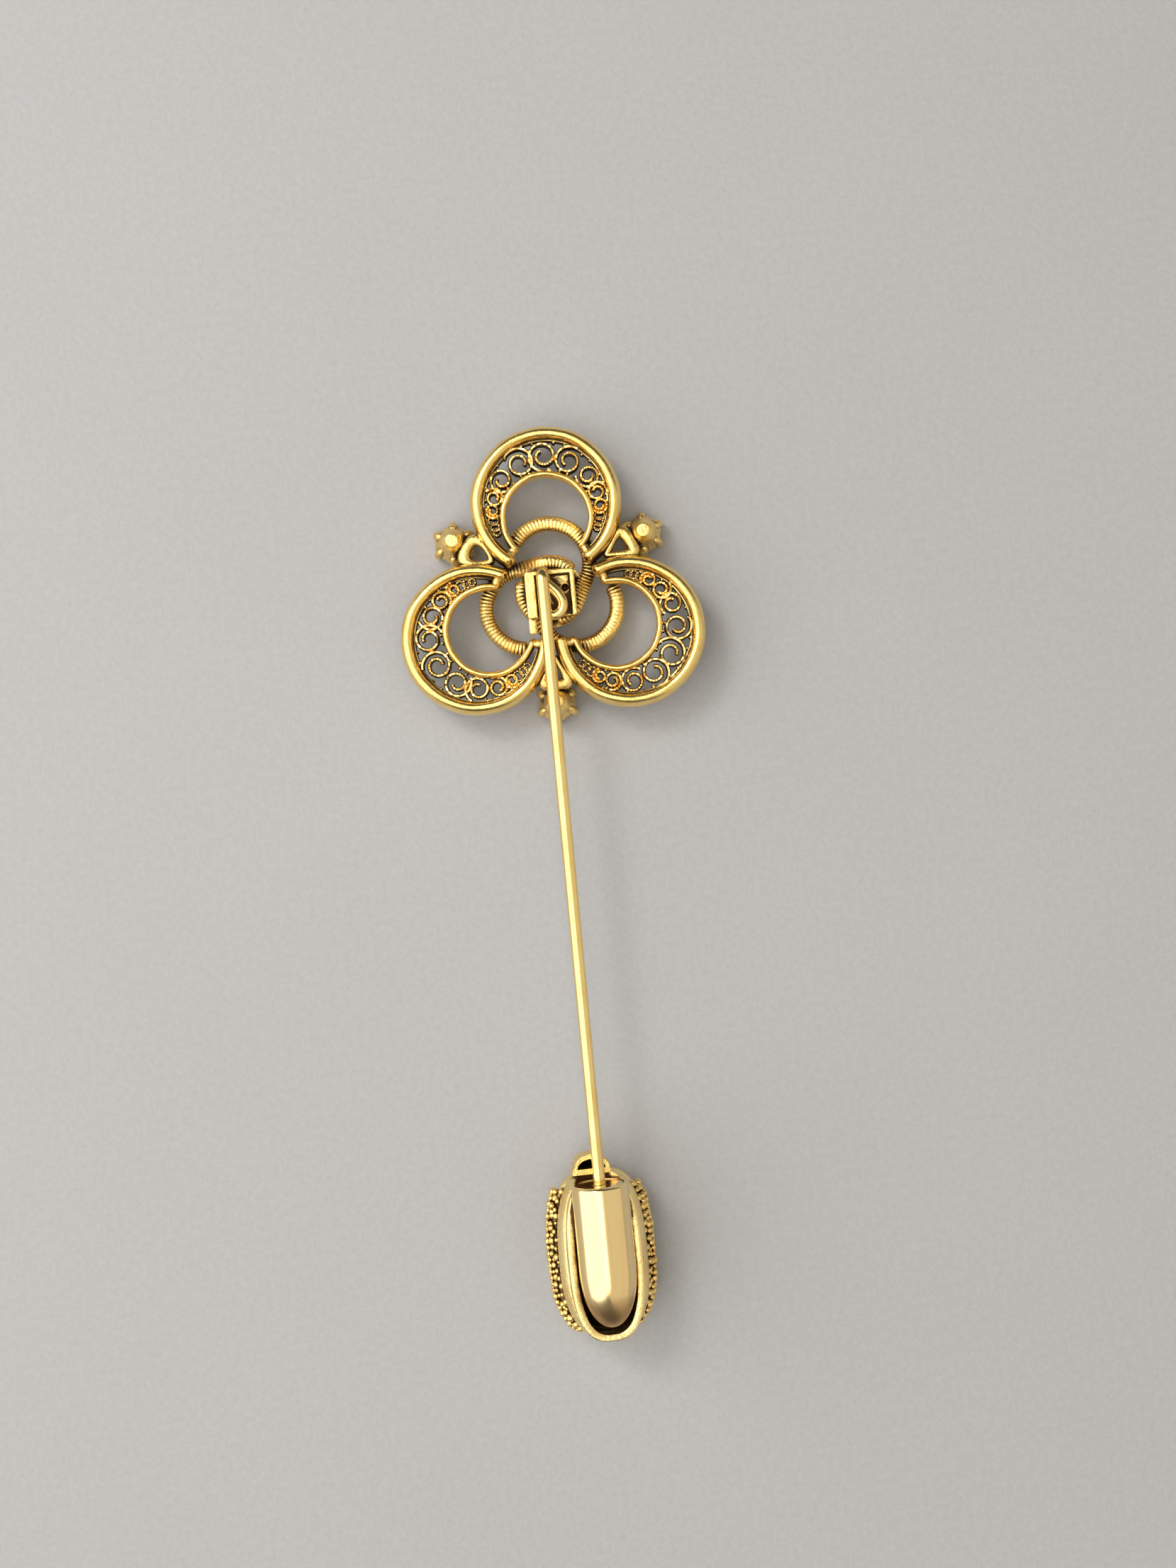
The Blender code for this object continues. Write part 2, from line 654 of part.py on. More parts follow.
def distance_for_gap(wanted):
    """Distance from the head's middle where half the gap between two lobes has a given size."""
    across = LOBE_REACH * math.sin(math.radians(60))
    return LOBE_REACH * math.cos(math.radians(60)) + math.sqrt(LOBE_RADIUS ** 2 - (across - wanted) ** 2)


def make_bracket(number, angle, gold, head):
    """A three-sided eyelet that fills the notch between two lobes up to the setting."""
    steps = 6
    far = SETTING_REACH - SETTING_WAIST_RADIUS - 2 * CLEARANCE
    near = distance_for_gap(BRACKET_TIP + CLEARANCE)
    hole_near = distance_for_gap(BRACKET_WIDTH + BRACKET_TIP + CLEARANCE)
    hole_far = far - BRACKET_WIDTH

    def outline(start, end, inset):
        side = [start + (end - start) * i / steps for i in range(steps + 1)]
        half = [(x, half_gap(x) - CLEARANCE - inset) for x in side]
        return [(x, y) for x, y in half] + [(x, -y) for x, y in reversed(half)]

    outer = outline(near, far, 0.0)
    inner = outline(hole_near, hole_far, BRACKET_WIDTH)
    front = RIM_FRONT_Z + BRACKET_RISE
    back = front + BRACKET_THICKNESS
    rings = [
        [Vector((x, y, z)) for x, y in points]
        for points, z in ((outer, front), (outer, back), (inner, back), (inner, front))
    ]
    bm = loft(rings, closed=True)
    turn_about_z(bm, angle)
    add_piece(f"bracket_{number}", bm, gold, head)


# ---------------------------------------------------------------------------
# Stem and clutch
# ---------------------------------------------------------------------------

def make_stem(gold, head):
    """Sharp point, straight stem, a bend at the head, and a flat teardrop foot on the plate."""
    radius = STEM_DIAMETER / 2
    foot = FOOT_DIAMETER / 2
    x = STEM_OFFSET_X
    bend_y = STEM_TOP_Y - radius - BEND_RADIUS
    path = [Vector((x, STEM_TIP_Y, STEM_Z))]
    radii = [radius * 0.06]
    for share in (0.10, 0.40, 0.75, 1.0):
        path.append(Vector((x, STEM_TIP_Y + STEM_POINT * share, STEM_Z)))
        radii.append(radius * (0.06 + 0.94 * math.sin(share * math.pi / 2)))
    straight = bend_y - (STEM_TIP_Y + STEM_POINT)
    for i in range(1, 5):
        path.append(Vector((x, STEM_TIP_Y + STEM_POINT + straight * i / 4, STEM_Z)))
        radii.append(radius)
    bend_steps = 9
    for i in range(1, bend_steps + 1):
        turn = math.pi * i / bend_steps
        drift = FOOT_DRIFT * (1 - math.cos(turn)) / 2
        path.append(Vector((
            x + drift, bend_y + BEND_RADIUS * math.sin(turn), STEM_Z - BEND_RADIUS * (1 - math.cos(turn)),
        )))
        radii.append(radius + (foot - radius) * i / bend_steps)
    start = path[-1]
    route = [start] + [Vector((start.x + dx * MM, start.y + dy * MM, FOOT_Z)) for dx, dy in FOOT_LOOP]
    loop = smooth_path(route, 4)[1:]
    path += loop
    radii += [foot] * len(loop)
    add_piece("pin_stem", tube(path, radii, 10), gold, head)


def nose_radius(share):
    """Outer radius of the clutch's nose, from its shoulder at 0 to its end at 1."""
    return CLUTCH_RADIUS * math.sqrt(max(0.0, 1 - share ** 2.3))


def make_clutch_shell(gold, clutch):
    """Deep-drawn barrel: open at the mouth, with a rounded edge, and closed at the nose."""
    sides = 24
    shoulder = CLUTCH_LENGTH - CLUTCH_NOSE
    profile = [(CLUTCH_RADIUS - CLUTCH_WALL, 0.0), (CLUTCH_RADIUS - CLUTCH_EDGE, 0.0)]
    for i in range(1, 4):
        a = math.pi / 2 * i / 3
        profile.append((
            CLUTCH_RADIUS - CLUTCH_EDGE + CLUTCH_EDGE * math.sin(a), -CLUTCH_EDGE + CLUTCH_EDGE * math.cos(a),
        ))
    shares = (0.0, 0.2, 0.4, 0.58, 0.74, 0.87, 0.96, 0.995)
    for share in shares:
        profile.append((nose_radius(share), -shoulder - CLUTCH_NOSE * share))
    inner_scale = (CLUTCH_RADIUS - CLUTCH_WALL) / CLUTCH_RADIUS
    inner_nose = CLUTCH_NOSE - CLUTCH_WALL
    inner = [
        (nose_radius(share) * inner_scale, -shoulder - inner_nose * share)
        for share in reversed((0.0, 0.3, 0.6, 0.85, 0.97))
    ]
    run = inner + profile
    rings = [
        [Vector((r * math.cos(2 * math.pi * k / sides), y, r * math.sin(2 * math.pi * k / sides)))
         for k in range(sides)]
        for r, y in run
    ]
    add_piece("clutch_shell", loft(rings), gold, clutch)


def make_washer(gold, clutch):
    """Disc that closes the mouth round the stem, with a dished entry."""
    outside = CLUTCH_RADIUS - CLUTCH_WALL - CLEARANCE
    bore = STEM_DIAMETER / 2 + 2 * RUNNING_FIT
    top = -WASHER_RECESS
    profile = [
        (outside, top), (bore + 0.22 * MM, top), (bore, top - 0.18 * MM),
        (bore, top - WASHER_THICKNESS), (outside, top - WASHER_THICKNESS),
    ]
    add_piece("clutch_mouth_washer", turned(profile, 24), gold, clutch)


def make_sleeve(gold, grip):
    """Split spring sleeve that grips the stem, with a flange behind the washer."""
    bore = STEM_DIAMETER / 2 + RUNNING_FIT
    outside = bore + SLEEVE_WALL
    flange = CLUTCH_RADIUS - CLUTCH_WALL - 3 * RUNNING_FIT
    top = -WASHER_RECESS - WASHER_THICKNESS - 2 * CLEARANCE
    profile = [
        (flange, top), (bore, top), (bore, top - SLEEVE_LENGTH), (outside, top - SLEEVE_LENGTH),
        (outside, top - SLEEVE_FLANGE), (flange, top - SLEEVE_FLANGE),
    ]
    sleeve = add_piece("clutch_grip_sleeve", turned(profile, 20), gold, grip)
    low = top - SLEEVE_LENGTH - SLEEVE_WALL
    high = top - 3 * SLEEVE_FLANGE
    slit = box((-2 * outside, low, -SLEEVE_SLIT / 2), (2 * outside, high, SLEEVE_SLIT / 2))
    cut(sleeve, add_piece("sleeve_slit", slit, gold, grip))


# ---------------------------------------------------------------------------
# Cast ornament
# ---------------------------------------------------------------------------

def outline_point(angle, half_width, half_length, centre_y):
    """Point on a rounded, squarish oval."""
    power = 2 / ORNAMENT_SHAPE
    c = math.cos(angle)
    s = math.sin(angle)
    x = half_width * math.copysign(abs(c) ** power, c)
    y = centre_y + half_length * math.copysign(abs(s) ** power, s)
    return x, y


def ornament_sizes():
    """Centre, half-length and half-width of the rim's inner edge."""
    far = -(CLUTCH_LENGTH + ORNAMENT_NOSE_GAP)
    near = ORNAMENT_TOP - ORNAMENT_WALL
    half_length = (near - far) / 2
    return (near + far) / 2, half_length, CLUTCH_RADIUS + 2 * CLEARANCE


def make_ornament_shell(gold, clutch):
    """Hollow oval cup, open at the back, with a domed front and a notch for the clutch's mouth."""
    centre, length, width = ornament_sizes()
    wall = ORNAMENT_WALL
    depth = STEM_Z - ORNAMENT_LIFT
    girth = ORNAMENT_GIRTH_DROP
    levels = [
        (0.34 * (width + ORNAMENT_FLARE), 0.42 * length, -depth),
        (0.74 * (width + ORNAMENT_FLARE), 0.80 * length, -depth + 0.22 * (depth - girth)),
        (width + wall + 0.86 * ORNAMENT_FLARE, 0.99 * (length + wall), -depth + 0.62 * (depth - girth)),
        (width + wall + ORNAMENT_FLARE, length + wall, -girth),
        (width + wall + 0.72 * ORNAMENT_FLARE, length + wall, -0.60 * girth),
        (width + wall, length + wall, -ORNAMENT_RIM_DROP),
        (width, length, -ORNAMENT_RIM_DROP),
        (width + 0.72 * ORNAMENT_FLARE, length, -0.62 * girth),
        (width + ORNAMENT_FLARE, length, -girth),
        (0.72 * (width + ORNAMENT_FLARE), 0.78 * length, -depth + 0.30 * (depth - girth) + wall * 0.6),
        (0.30 * (width + ORNAMENT_FLARE), 0.40 * length, -depth + wall),
    ]
    sides = 36
    rings = []
    for half_width, half_length, z in levels:
        ring = []
        for k in range(sides):
            x, y = outline_point(2 * math.pi * (k + 0.5) / sides, half_width, half_length, centre)
            ring.append(Vector((x, y, z)))
        rings.append(ring)
    shell = add_piece("ornament_shell", loft(rings), gold, clutch)
    radius = CLUTCH_RADIUS + CLEARANCE
    profile = [(radius, -0.55 * CLUTCH_LENGTH), (radius, 3 * FINIAL_LENGTH)]
    sides = 32
    bore = loft([
        [Vector((r / math.cos(math.pi / sides) * math.cos(2 * math.pi * k / sides), y,
                 r / math.cos(math.pi / sides) * math.sin(2 * math.pi * k / sides))) for k in range(sides)]
        for r, y in profile
    ])
    cut(shell, add_piece("clutch_bed", bore, gold, clutch))


def make_beading(name, side, gold, clutch):
    """A beaded wire along one flank, at the ornament's widest level."""
    centre, length, width = ornament_sizes()
    off = ORNAMENT_WALL + CLEARANCE + BEADING_WIRE / 2
    half_width = width + ORNAMENT_FLARE + off
    half_length = length + off
    start = math.radians(48)
    dense = []
    for i in range(241):
        angle = start - 2 * start * i / 240 - math.radians(8)
        x, y = outline_point(angle, half_width, half_length, centre)
        dense.append(Vector((side * x, y, -ORNAMENT_GIRTH_DROP)))
    lengths = [0.0]
    for a, b in zip(dense, dense[1:]):
        lengths.append(lengths[-1] + (b - a).length)
    beads = max(3, round(lengths[-1] / BEADING_PITCH))
    samples = 3 * beads
    path = []
    radii = []
    for i in range(samples + 1):
        wanted = lengths[-1] * i / samples
        spot = next(k for k, value in enumerate(lengths) if value >= wanted - 1e-12)
        path.append(dense[spot])
        radii.append(BEADING_WIRE / 2 * (0.62, 1.0, 1.0)[i % 3])
    add_piece(name, tube(path, radii, 5), gold, clutch)


def make_finial(gold, clutch):
    """Small hollow knob at the ornament's head, behind the stem."""
    front = -0.74 * STEM_Z
    back = -STEM_DIAMETER
    start = ORNAMENT_TOP + CLEARANCE
    steps = 12

    def half_round(width_share, length_share, height_share, inset):
        z = front + height_share * (back - front)
        points = []
        for k in range(steps + 1):
            a = math.pi * k / steps
            points.append(Vector((
                FINIAL_SHIFT_X + (FINIAL_WIDTH / 2 - inset) * width_share * math.cos(a),
                start + inset + (FINIAL_LENGTH - 2 * inset) * length_share * math.sin(a),
                z,
            )))
        return points

    rings = [half_round(*level, 0.0) for level in FINIAL_OUTSIDE]
    rings += [half_round(*level, FINIAL_WALL) for level in FINIAL_INSIDE]
    add_piece("ornament_finial", loft(rings), gold, clutch)


# ---------------------------------------------------------------------------
# Assembly
# ---------------------------------------------------------------------------

def rest_on_origin(pin):
    """Moves the whole pin so that its bounding box stands on the origin."""
    bpy.context.view_layer.update()
    graph = bpy.context.evaluated_depsgraph_get()
    low = Vector((1.0, 1.0, 1.0))
    high = Vector((-1.0, -1.0, -1.0))
    for obj in bpy.data.objects:
        if obj.type != "MESH" or obj.display_type == "WIRE":
            continue
        evaluated = obj.evaluated_get(graph)
        mesh = evaluated.to_mesh()
        for vert in mesh.vertices:
            point = obj.matrix_world @ vert.co
            low = Vector(map(min, low, point))
            high = Vector(map(max, high, point))
        evaluated.to_mesh_clear()
    pin.location = Vector((-(low.x + high.x) / 2, -(low.y + high.y) / 2, -low.z))
    bpy.context.view_layer.update()


def main():
    clear_scene()
    gold = finish_material("bright_gold", GOLD, 0.28)
    old_gold = finish_material("antique_gold", OLD_GOLD, 0.42)
    pale_gold = finish_material("pale_gold", PALE_GOLD, 0.22)
    glass = finish_material("dark_stone", (0.03, 0.03, 0.04), 0.05, 0.0)
    pin = add_empty("pin", (0, 0, 0))
    head = add_empty("head", (0, 0, 0), pin)
    axis_point = (STEM_OFFSET_X, MOUTH_Y, STEM_Z)
    grip = add_empty("clutch_slide_axis", axis_point, pin)
    clutch = add_empty("clutch_turn_axis", axis_point, pin, CLUTCH_ROLL)
    for number, angle in enumerate(LOBE_ANGLES, start=1):
        make_outer_rim(number, angle, gold, head)
        make_inner_rim(number, angle, gold, head)
        make_scrolls(number, angle, old_gold, head)
        make_arm(number, angle, old_gold, head)
        between = angle - math.radians(60)
        make_bracket(number, between, gold, head)
        make_setting(number, between, gold, head)
        make_stone(number, between, glass, head)
    make_boss(gold, head)
    make_plate(gold, head)
    make_stem(gold, head)
    make_sleeve(pale_gold, grip)
    make_clutch_shell(pale_gold, clutch)
    make_washer(pale_gold, clutch)
    make_ornament_shell(gold, clutch)
    make_beading("ornament_beading_left", -1, old_gold, clutch)
    make_beading("ornament_beading_right", 1, old_gold, clutch)
    make_finial(gold, clutch)
    rest_on_origin(pin)


main()
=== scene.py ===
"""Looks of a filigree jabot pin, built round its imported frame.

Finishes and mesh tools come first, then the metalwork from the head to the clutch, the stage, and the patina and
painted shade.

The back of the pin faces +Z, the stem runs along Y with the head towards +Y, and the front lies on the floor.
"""
import json
import math

import bmesh
import bpy
import numpy as np
from mathutils import Matrix, Vector
from mathutils.bvhtree import BVHTree

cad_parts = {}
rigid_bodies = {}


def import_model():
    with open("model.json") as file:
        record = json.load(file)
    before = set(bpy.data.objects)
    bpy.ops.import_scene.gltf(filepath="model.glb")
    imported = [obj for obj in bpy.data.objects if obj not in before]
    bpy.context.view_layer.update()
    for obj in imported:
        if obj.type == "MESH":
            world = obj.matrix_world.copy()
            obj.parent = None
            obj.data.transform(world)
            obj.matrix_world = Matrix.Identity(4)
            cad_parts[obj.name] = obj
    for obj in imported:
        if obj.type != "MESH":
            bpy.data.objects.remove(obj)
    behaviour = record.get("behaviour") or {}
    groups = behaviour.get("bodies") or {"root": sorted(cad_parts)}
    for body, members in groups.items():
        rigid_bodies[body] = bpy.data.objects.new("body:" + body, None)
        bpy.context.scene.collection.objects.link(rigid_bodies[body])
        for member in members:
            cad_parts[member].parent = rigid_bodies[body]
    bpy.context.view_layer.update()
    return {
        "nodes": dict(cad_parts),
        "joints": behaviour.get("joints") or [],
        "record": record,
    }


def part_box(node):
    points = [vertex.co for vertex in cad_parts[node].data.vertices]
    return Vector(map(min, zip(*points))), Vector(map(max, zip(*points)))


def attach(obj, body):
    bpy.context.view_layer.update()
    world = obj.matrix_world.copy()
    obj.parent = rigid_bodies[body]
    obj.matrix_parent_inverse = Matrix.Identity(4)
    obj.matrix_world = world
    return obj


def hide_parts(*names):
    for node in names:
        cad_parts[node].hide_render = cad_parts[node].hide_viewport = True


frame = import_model()

MM = 0.001
TURN = 2 * math.pi

# Head
HEAD_TURN = math.radians(-2.2)
LOBE_ANGLES = [HEAD_TURN + math.radians(a) for a in (90, 210, 330)]
LOBE_SPLAY = math.radians(60)
LOBE_RADIUS = 6.42 * MM
SOLDER_GAP = 0.04 * MM
RIM_WIDTH = 1.25 * MM
RIM_HEIGHT = 2.20 * MM
RIM_SPAN = math.radians(149)
HOLE_RADIUS = 3.45 * MM
HOLE_OFFSET = 1.32 * MM
INNER_RIM_WIDTH = 0.55 * MM
INNER_RIM_HEIGHT = 1.75 * MM
INNER_RIM_SPAN = math.radians(137)
ARM_WIDTH = 1.35 * MM
ARM_THICKNESS = 1.35 * MM
ARM_RADIUS = 3.40 * MM
ARM_CENTRE = 2.50 * MM
ARM_START = math.radians(60)
ARM_RISE = math.radians(-102)
ARM_ROUND_HUB = math.radians(57)
ARM_RIB_PITCH = 0.30 * MM
HUB_RING_RADIUS = 2.40 * MM
SCROLLS_EACH_WAY = 4
SCROLL_FILL = 0.92
SCROLL_WIRE = 0.175 * MM
SCROLL_DEPTH = 4.0
SCROLL_MILLING = 0.24 * MM
MILLING_SWELL = 0.07
PLATE_LENGTH = 4.00 * MM
PLATE_EDGE_WIDTH = 0.45 * MM
PLATE_EDGE_HEIGHT = 0.30 * MM
PLATE_BAR_WIDTH = 0.90 * MM
PLATE_HOLE_RADIUS = 0.21 * MM
PLATE_HOLE_AT = (1.24 * MM, 0.06 * MM)
STALK_WIDTH = 0.70 * MM
STALK_LENGTH = 1.30 * MM
STALK_THICKNESS = 0.35 * MM
BOSS_RADIUS = 2.90 * MM
STONE_DIAMETER = 2.40 * MM
STONE_CROWN = 0.55 * MM
STONE_PAVILION = 1.10 * MM
CLAWS = 6
CLAW_WALL = 0.55 * MM
CLAW_LENGTH = 0.95 * MM
CLAW_RADIUS = 0.36 * MM
FLUTE_DEPTH = 0.08
SETTING_STANDOFF = 1.85 * MM
SETTING_BACK_RADIUS = 0.60 * MM
SETTING_WAIST_RADIUS = 1.15 * MM
BRACKET_WIDTH = 0.48 * MM
EYELET_ROUNDING = (35, 110, 35)

# Stem
STEM_DIAMETER = 1.00 * MM
STEM_POINT = 3.00 * MM
BEND_RADIUS = 0.72 * MM
FOOT_WIRE = 0.84
FOOT_DRIFT = 0.18 * MM
FOOT_LOOP = [
    (0.36, -0.42), (0.92, -1.02), (1.30, -1.86), (1.10, -2.62),
    (0.42, -2.90), (-0.12, -2.44), (0.02, -1.84),
]

# Clutch and ornament
CLUTCH_ROLL = math.radians(6)
CLUTCH_RADIUS = 2.38 * MM
CLUTCH_LENGTH = 11.90 * MM
CLUTCH_WALL = 0.35 * MM
CLUTCH_NOSE = 5.20 * MM
CLUTCH_EDGE = 0.30 * MM
RUNNING_FIT = 0.03 * MM
WASHER_THICKNESS = 0.45 * MM
WASHER_RECESS = 0.08 * MM
ORNAMENT_SHAPE = 2.8
ORNAMENT_WALL = 0.56 * MM
ORNAMENT_FLARE = 1.10 * MM
ORNAMENT_NOSE_GAP = 0.75 * MM
ORNAMENT_TOP = 0.60 * MM
ORNAMENT_RIM_DROP = 0.40 * MM
ORNAMENT_GIRTH_DROP = 4.00 * MM
BEADING_WIRE = 0.50 * MM
FINIAL_WIDTH = 3.40 * MM
FINIAL_LENGTH = 1.75 * MM
FINIAL_WALL = 0.45 * MM
FINIAL_SHIFT_X = -0.45 * MM

# Angles between faces past which an edge is sharp
DRAWN_EDGE = math.radians(50)
TURNED_EDGE = math.radians(40)
CAST_EDGE = math.radians(42)
JOINED_EDGE = math.radians(38)
PLATE_EDGE = math.radians(60)
CUT_EDGE = math.radians(3)

LOBE_REACH = (LOBE_RADIUS + SOLDER_GAP) / math.sin(LOBE_SPLAY)
LOBE_ACROSS = LOBE_REACH * math.sin(LOBE_SPLAY)
HOLE_REACH = LOBE_REACH - HOLE_OFFSET
BAND_CENTRE_X = LOBE_REACH - HOLE_OFFSET / 2
SETTING_REACH = LOBE_REACH + SETTING_STANDOFF

# Places read from the frame
boss_low, boss_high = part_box("hub_boss")
rim_low, rim_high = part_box("outer_rim_1")
plate_low, plate_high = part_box("hub_plate")
stem_low, stem_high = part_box("pin_stem")
HEAD_CENTRE = Vector(((boss_low.x + boss_high.x) / 2, (boss_low.y + boss_high.y) / 2, 0.0))
RIM_FRONT_Z = rim_low.z
SCROLL_CREST_Z = RIM_FRONT_Z + 1.35 * MM
NODE_SLOTS = {part["node"]: part["material_slot"] for part in frame["record"]["subparts"]}
TURN_JOINT = next(joint for joint in frame["joints"] if joint["name"] == "clutch_turn")
CLUTCH_AXIS = Vector(TURN_JOINT["pos_m"])
UP = np.array([0.0, 0.0, 1.0])


# ---------------------------------------------------------------------------
# Shader maths
# ---------------------------------------------------------------------------

class Signal:
    """A value in a finish, written in sums like a number."""

    def __init__(self, finish, socket):
        self.finish = finish
        self.socket = socket

    def maths(self, operation, *values):
        return self.finish.node("ShaderNodeMath", {"operation": operation}, dict(enumerate(values)))

    def __add__(self, other):
        return self.maths("ADD", self, other)

    __radd__ = __add__

    def __sub__(self, other):
        return self.maths("SUBTRACT", self, other)

    def __rsub__(self, other):
        return self.maths("SUBTRACT", other, self)

    def __mul__(self, other):
        return self.maths("MULTIPLY", self, other)

    __rmul__ = __mul__

    def between(self, low, high):
        """0 below low, 1 above high, and smooth in between."""
        settings = {"interpolation_type": "SMOOTHSTEP"}
        inputs = {"Value": self, "From Min": low, "From Max": high}
        return self.finish.node("ShaderNodeMapRange", settings, inputs)

    def limited(self):
        return self.maths("MINIMUM", self.maths("MAXIMUM", self, 0.0), 1.0)


class Finish:
    """A material whose nodes are added by name."""

    def __init__(self, name):
        self.material = bpy.data.materials.new(name)
        self.material.use_nodes = True
        self.tree = self.material.node_tree
        self.shader = self.tree.nodes["Principled BSDF"]

    def node(self, kind, settings=None, inputs=None, output=0):
        made = self.tree.nodes.new(kind)
        for key, value in (settings or {}).items():
            setattr(made, key, value)
        for key, value in (inputs or {}).items():
            self.feed(made.inputs[key], value)
        return Signal(self, made.outputs[output])

    def feed(self, socket, value):
        if isinstance(value, Signal):
            self.tree.links.new(value.socket, socket)
        elif isinstance(value, tuple) and len(value) == 3 and socket.type == "RGBA":
            socket.default_value = (*value, 1.0)
        else:
            socket.default_value = value

    def position(self):
        return self.node("ShaderNodeTexCoord", output="Object")

    def noise(self, scale, detail, roughness=0.55, vector=None):
        return self.node("ShaderNodeTexNoise", None, {
            "Vector": vector or self.position(), "Scale": scale, "Detail": detail, "Roughness": roughness,
        })

    def recess(self):
        """How deep a point lies among its neighbours, from 0 in the open to 1 in a corner."""
        return self.node("ShaderNodeAttribute", {"attribute_name": "recess"}, output="Fac")

    def mix(self, share, first, second):
        """Two colours mixed. The node's colour sockets are its inputs 6 and 7 and its output 2."""
        return self.node("ShaderNodeMix", {"data_type": "RGBA"}, {0: share, 6: first, 7: second}, output=2)

    def bump(self, height, distance):
        return self.node("ShaderNodeBump", None, {"Height": height, "Distance": distance})

    def stretched(self, scale):
        """Object position scaled unevenly, for streaks."""
        return self.node("ShaderNodeMapping", None, {"Vector": self.position(), "Scale": scale})

    def put(self, **sockets):
        for name, value in sockets.items():
            self.feed(self.shader.inputs[name.replace("_", " ")], value)
        return self.material


def antique_metal(name, bright, worn, patina_and_shade, roughness, patina_and_shade_from, patina_and_shade_to, cast=0.0, crest=None):
    """Plated metal: bright where it is open, warmer where it is rubbed, brown in the recesses, where the brown
    is patina and painted shade together.
    """
    f = Finish(name)
    cloud = f.noise(420.0, 4.0, 0.6)
    fine = f.noise(5200.0, 3.0, 0.6)
    # The recess measure darkens shut-in points and grooves: partly patina, partly painted shade.
    depth = f.recess() + (cloud - 0.5) * 0.42 + (fine - 0.5) * 0.16
    # With a crest height, everything lower is painted darker: painted shade deep between the wires, as well as
    # patina.
    if crest is not None:
        level = f.node("ShaderNodeSeparateXYZ", None, {"Vector": f.position()}, output="Z")
        depth = depth * 0.4 + (1.0 - level.between(crest - 0.42 * MM, crest - 0.10 * MM)) * 0.9
    brown = depth.between(patina_and_shade_from, patina_and_shade_to)
    rubbed = cloud.between(0.42, 0.74)
    plated = f.mix(rubbed * 0.65, bright, worn)
    colour = f.mix(brown, plated, patina_and_shade)
    rough = roughness + brown * 0.34 + (fine - 0.5) * 0.12
    grain = f.noise(2600.0, 4.0, 0.62)
    height = grain * (0.25 + cast) + fine * 0.35 + cloud * cast
    return f.put(
        Base_Color=colour,
        Metallic=1.0 - brown * 0.25,
        Roughness=rough.limited(),
        Normal=f.bump(height, 0.016 * MM * (1.0 + 2.2 * cast)),
    )


def bright_gold():
    # Its dark brown on the rims' inner sides and in the recesses is patina and painted shade.
    return antique_metal(
        "bright_gold", bright=(1.0, 0.74, 0.26), worn=(0.92, 0.54, 0.13), patina_and_shade=(0.075, 0.032, 0.008),
        roughness=0.24, patina_and_shade_from=0.08, patina_and_shade_to=0.40, cast=0.25,
    )


def stem_gold():
    """Drawn wire: smooth, with next to no patina or painted shade."""
    return antique_metal(
        "stem_gold", bright=(1.0, 0.77, 0.31), worn=(0.94, 0.62, 0.20), patina_and_shade=(0.20, 0.10, 0.03),
        roughness=0.19, patina_and_shade_from=0.42, patina_and_shade_to=0.85,
    )


def cast_gold():
    # Its near-black brown in the recesses is patina and painted shade.
    return antique_metal(
        "cast_gold", bright=(1.0, 0.72, 0.25), worn=(0.84, 0.46, 0.11), patina_and_shade=(0.060, 0.027, 0.008),
        roughness=0.27, patina_and_shade_from=0.04, patina_and_shade_to=0.36, cast=0.9,
    )


def filigree_gold():
    """Only the crests of the wires stay bright; below them the colour is painted dark, partly patina and partly
    painted shade in the deep gaps between the wires.
    """
    return antique_metal(
        "filigree_gold", bright=(1.0, 0.73, 0.28), worn=(0.90, 0.52, 0.14), patina_and_shade=(0.026, 0.012, 0.005),
        roughness=0.25, patina_and_shade_from=0.24, patina_and_shade_to=0.52, cast=0.3, crest=SCROLL_CREST_Z,
    )


def ornament_gold():
    # Its brown in the recesses is patina and painted shade.
    return antique_metal(
        "ornament_gold", bright=(1.0, 0.79, 0.36), worn=(0.92, 0.58, 0.19), patina_and_shade=(0.10, 0.045, 0.014),
        roughness=0.25, patina_and_shade_from=0.06, patina_and_shade_to=0.38, cast=0.7,
    )


def clutch_gold():
    """Drawn and polished barrel: pale, with fine lengthwise lines, a brown, rubbed nose, and tarnish mixed with
    painted shade where other pieces close round it.
    """
    f = Finish("clutch_gold")
    lines = f.noise(900.0, 3.0, 0.6, f.stretched((1.0, 0.035, 1.0)))
    cloud = f.noise(330.0, 4.0, 0.62)
    fine = f.noise(5200.0, 2.0)
    along = f.node("ShaderNodeSeparateXYZ", None, {"Vector": f.position()}, output="Y")
    nose_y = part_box("clutch_shell")[0].y
    near_nose = 1.0 - along.between(nose_y + 1.2 * MM, nose_y + 5.0 * MM)
    # The recess measure adds painted shade where the ornament and disc close round the barrel, on top of the
    # nose wear and tarnish.
    soil_and_shade = near_nose * 0.9 + f.recess() * 0.8 + (cloud - 0.5) * 0.9 + (lines - 0.5) * 0.5
    tarnish_and_shade = soil_and_shade.between(0.30, 0.95)
    base = f.mix(lines.between(0.35, 0.72) * 0.9, (1.0, 0.78, 0.40), (0.90, 0.62, 0.27))
    colour = f.mix(tarnish_and_shade * 0.8, base, (0.34, 0.18, 0.07))
    rough = 0.16 + tarnish_and_shade * 0.22 + (lines - 0.5) * 0.10
    return f.put(
        Base_Color=colour,
        Metallic=1.0,
        Roughness=rough.limited(),
        Normal=f.bump(lines * 0.5 + fine * 0.2, 0.006 * MM),
    )


def dark_stone():
    f = Finish("dark_stone")
    veil = f.noise(260.0, 2.0)
    colour = f.mix(veil.between(0.35, 0.75), (0.010, 0.010, 0.014), (0.035, 0.022, 0.030))
    return f.put(Base_Color=colour, Roughness=0.035, IOR=1.65, Coat_Weight=0.6, Coat_Roughness=0.02)


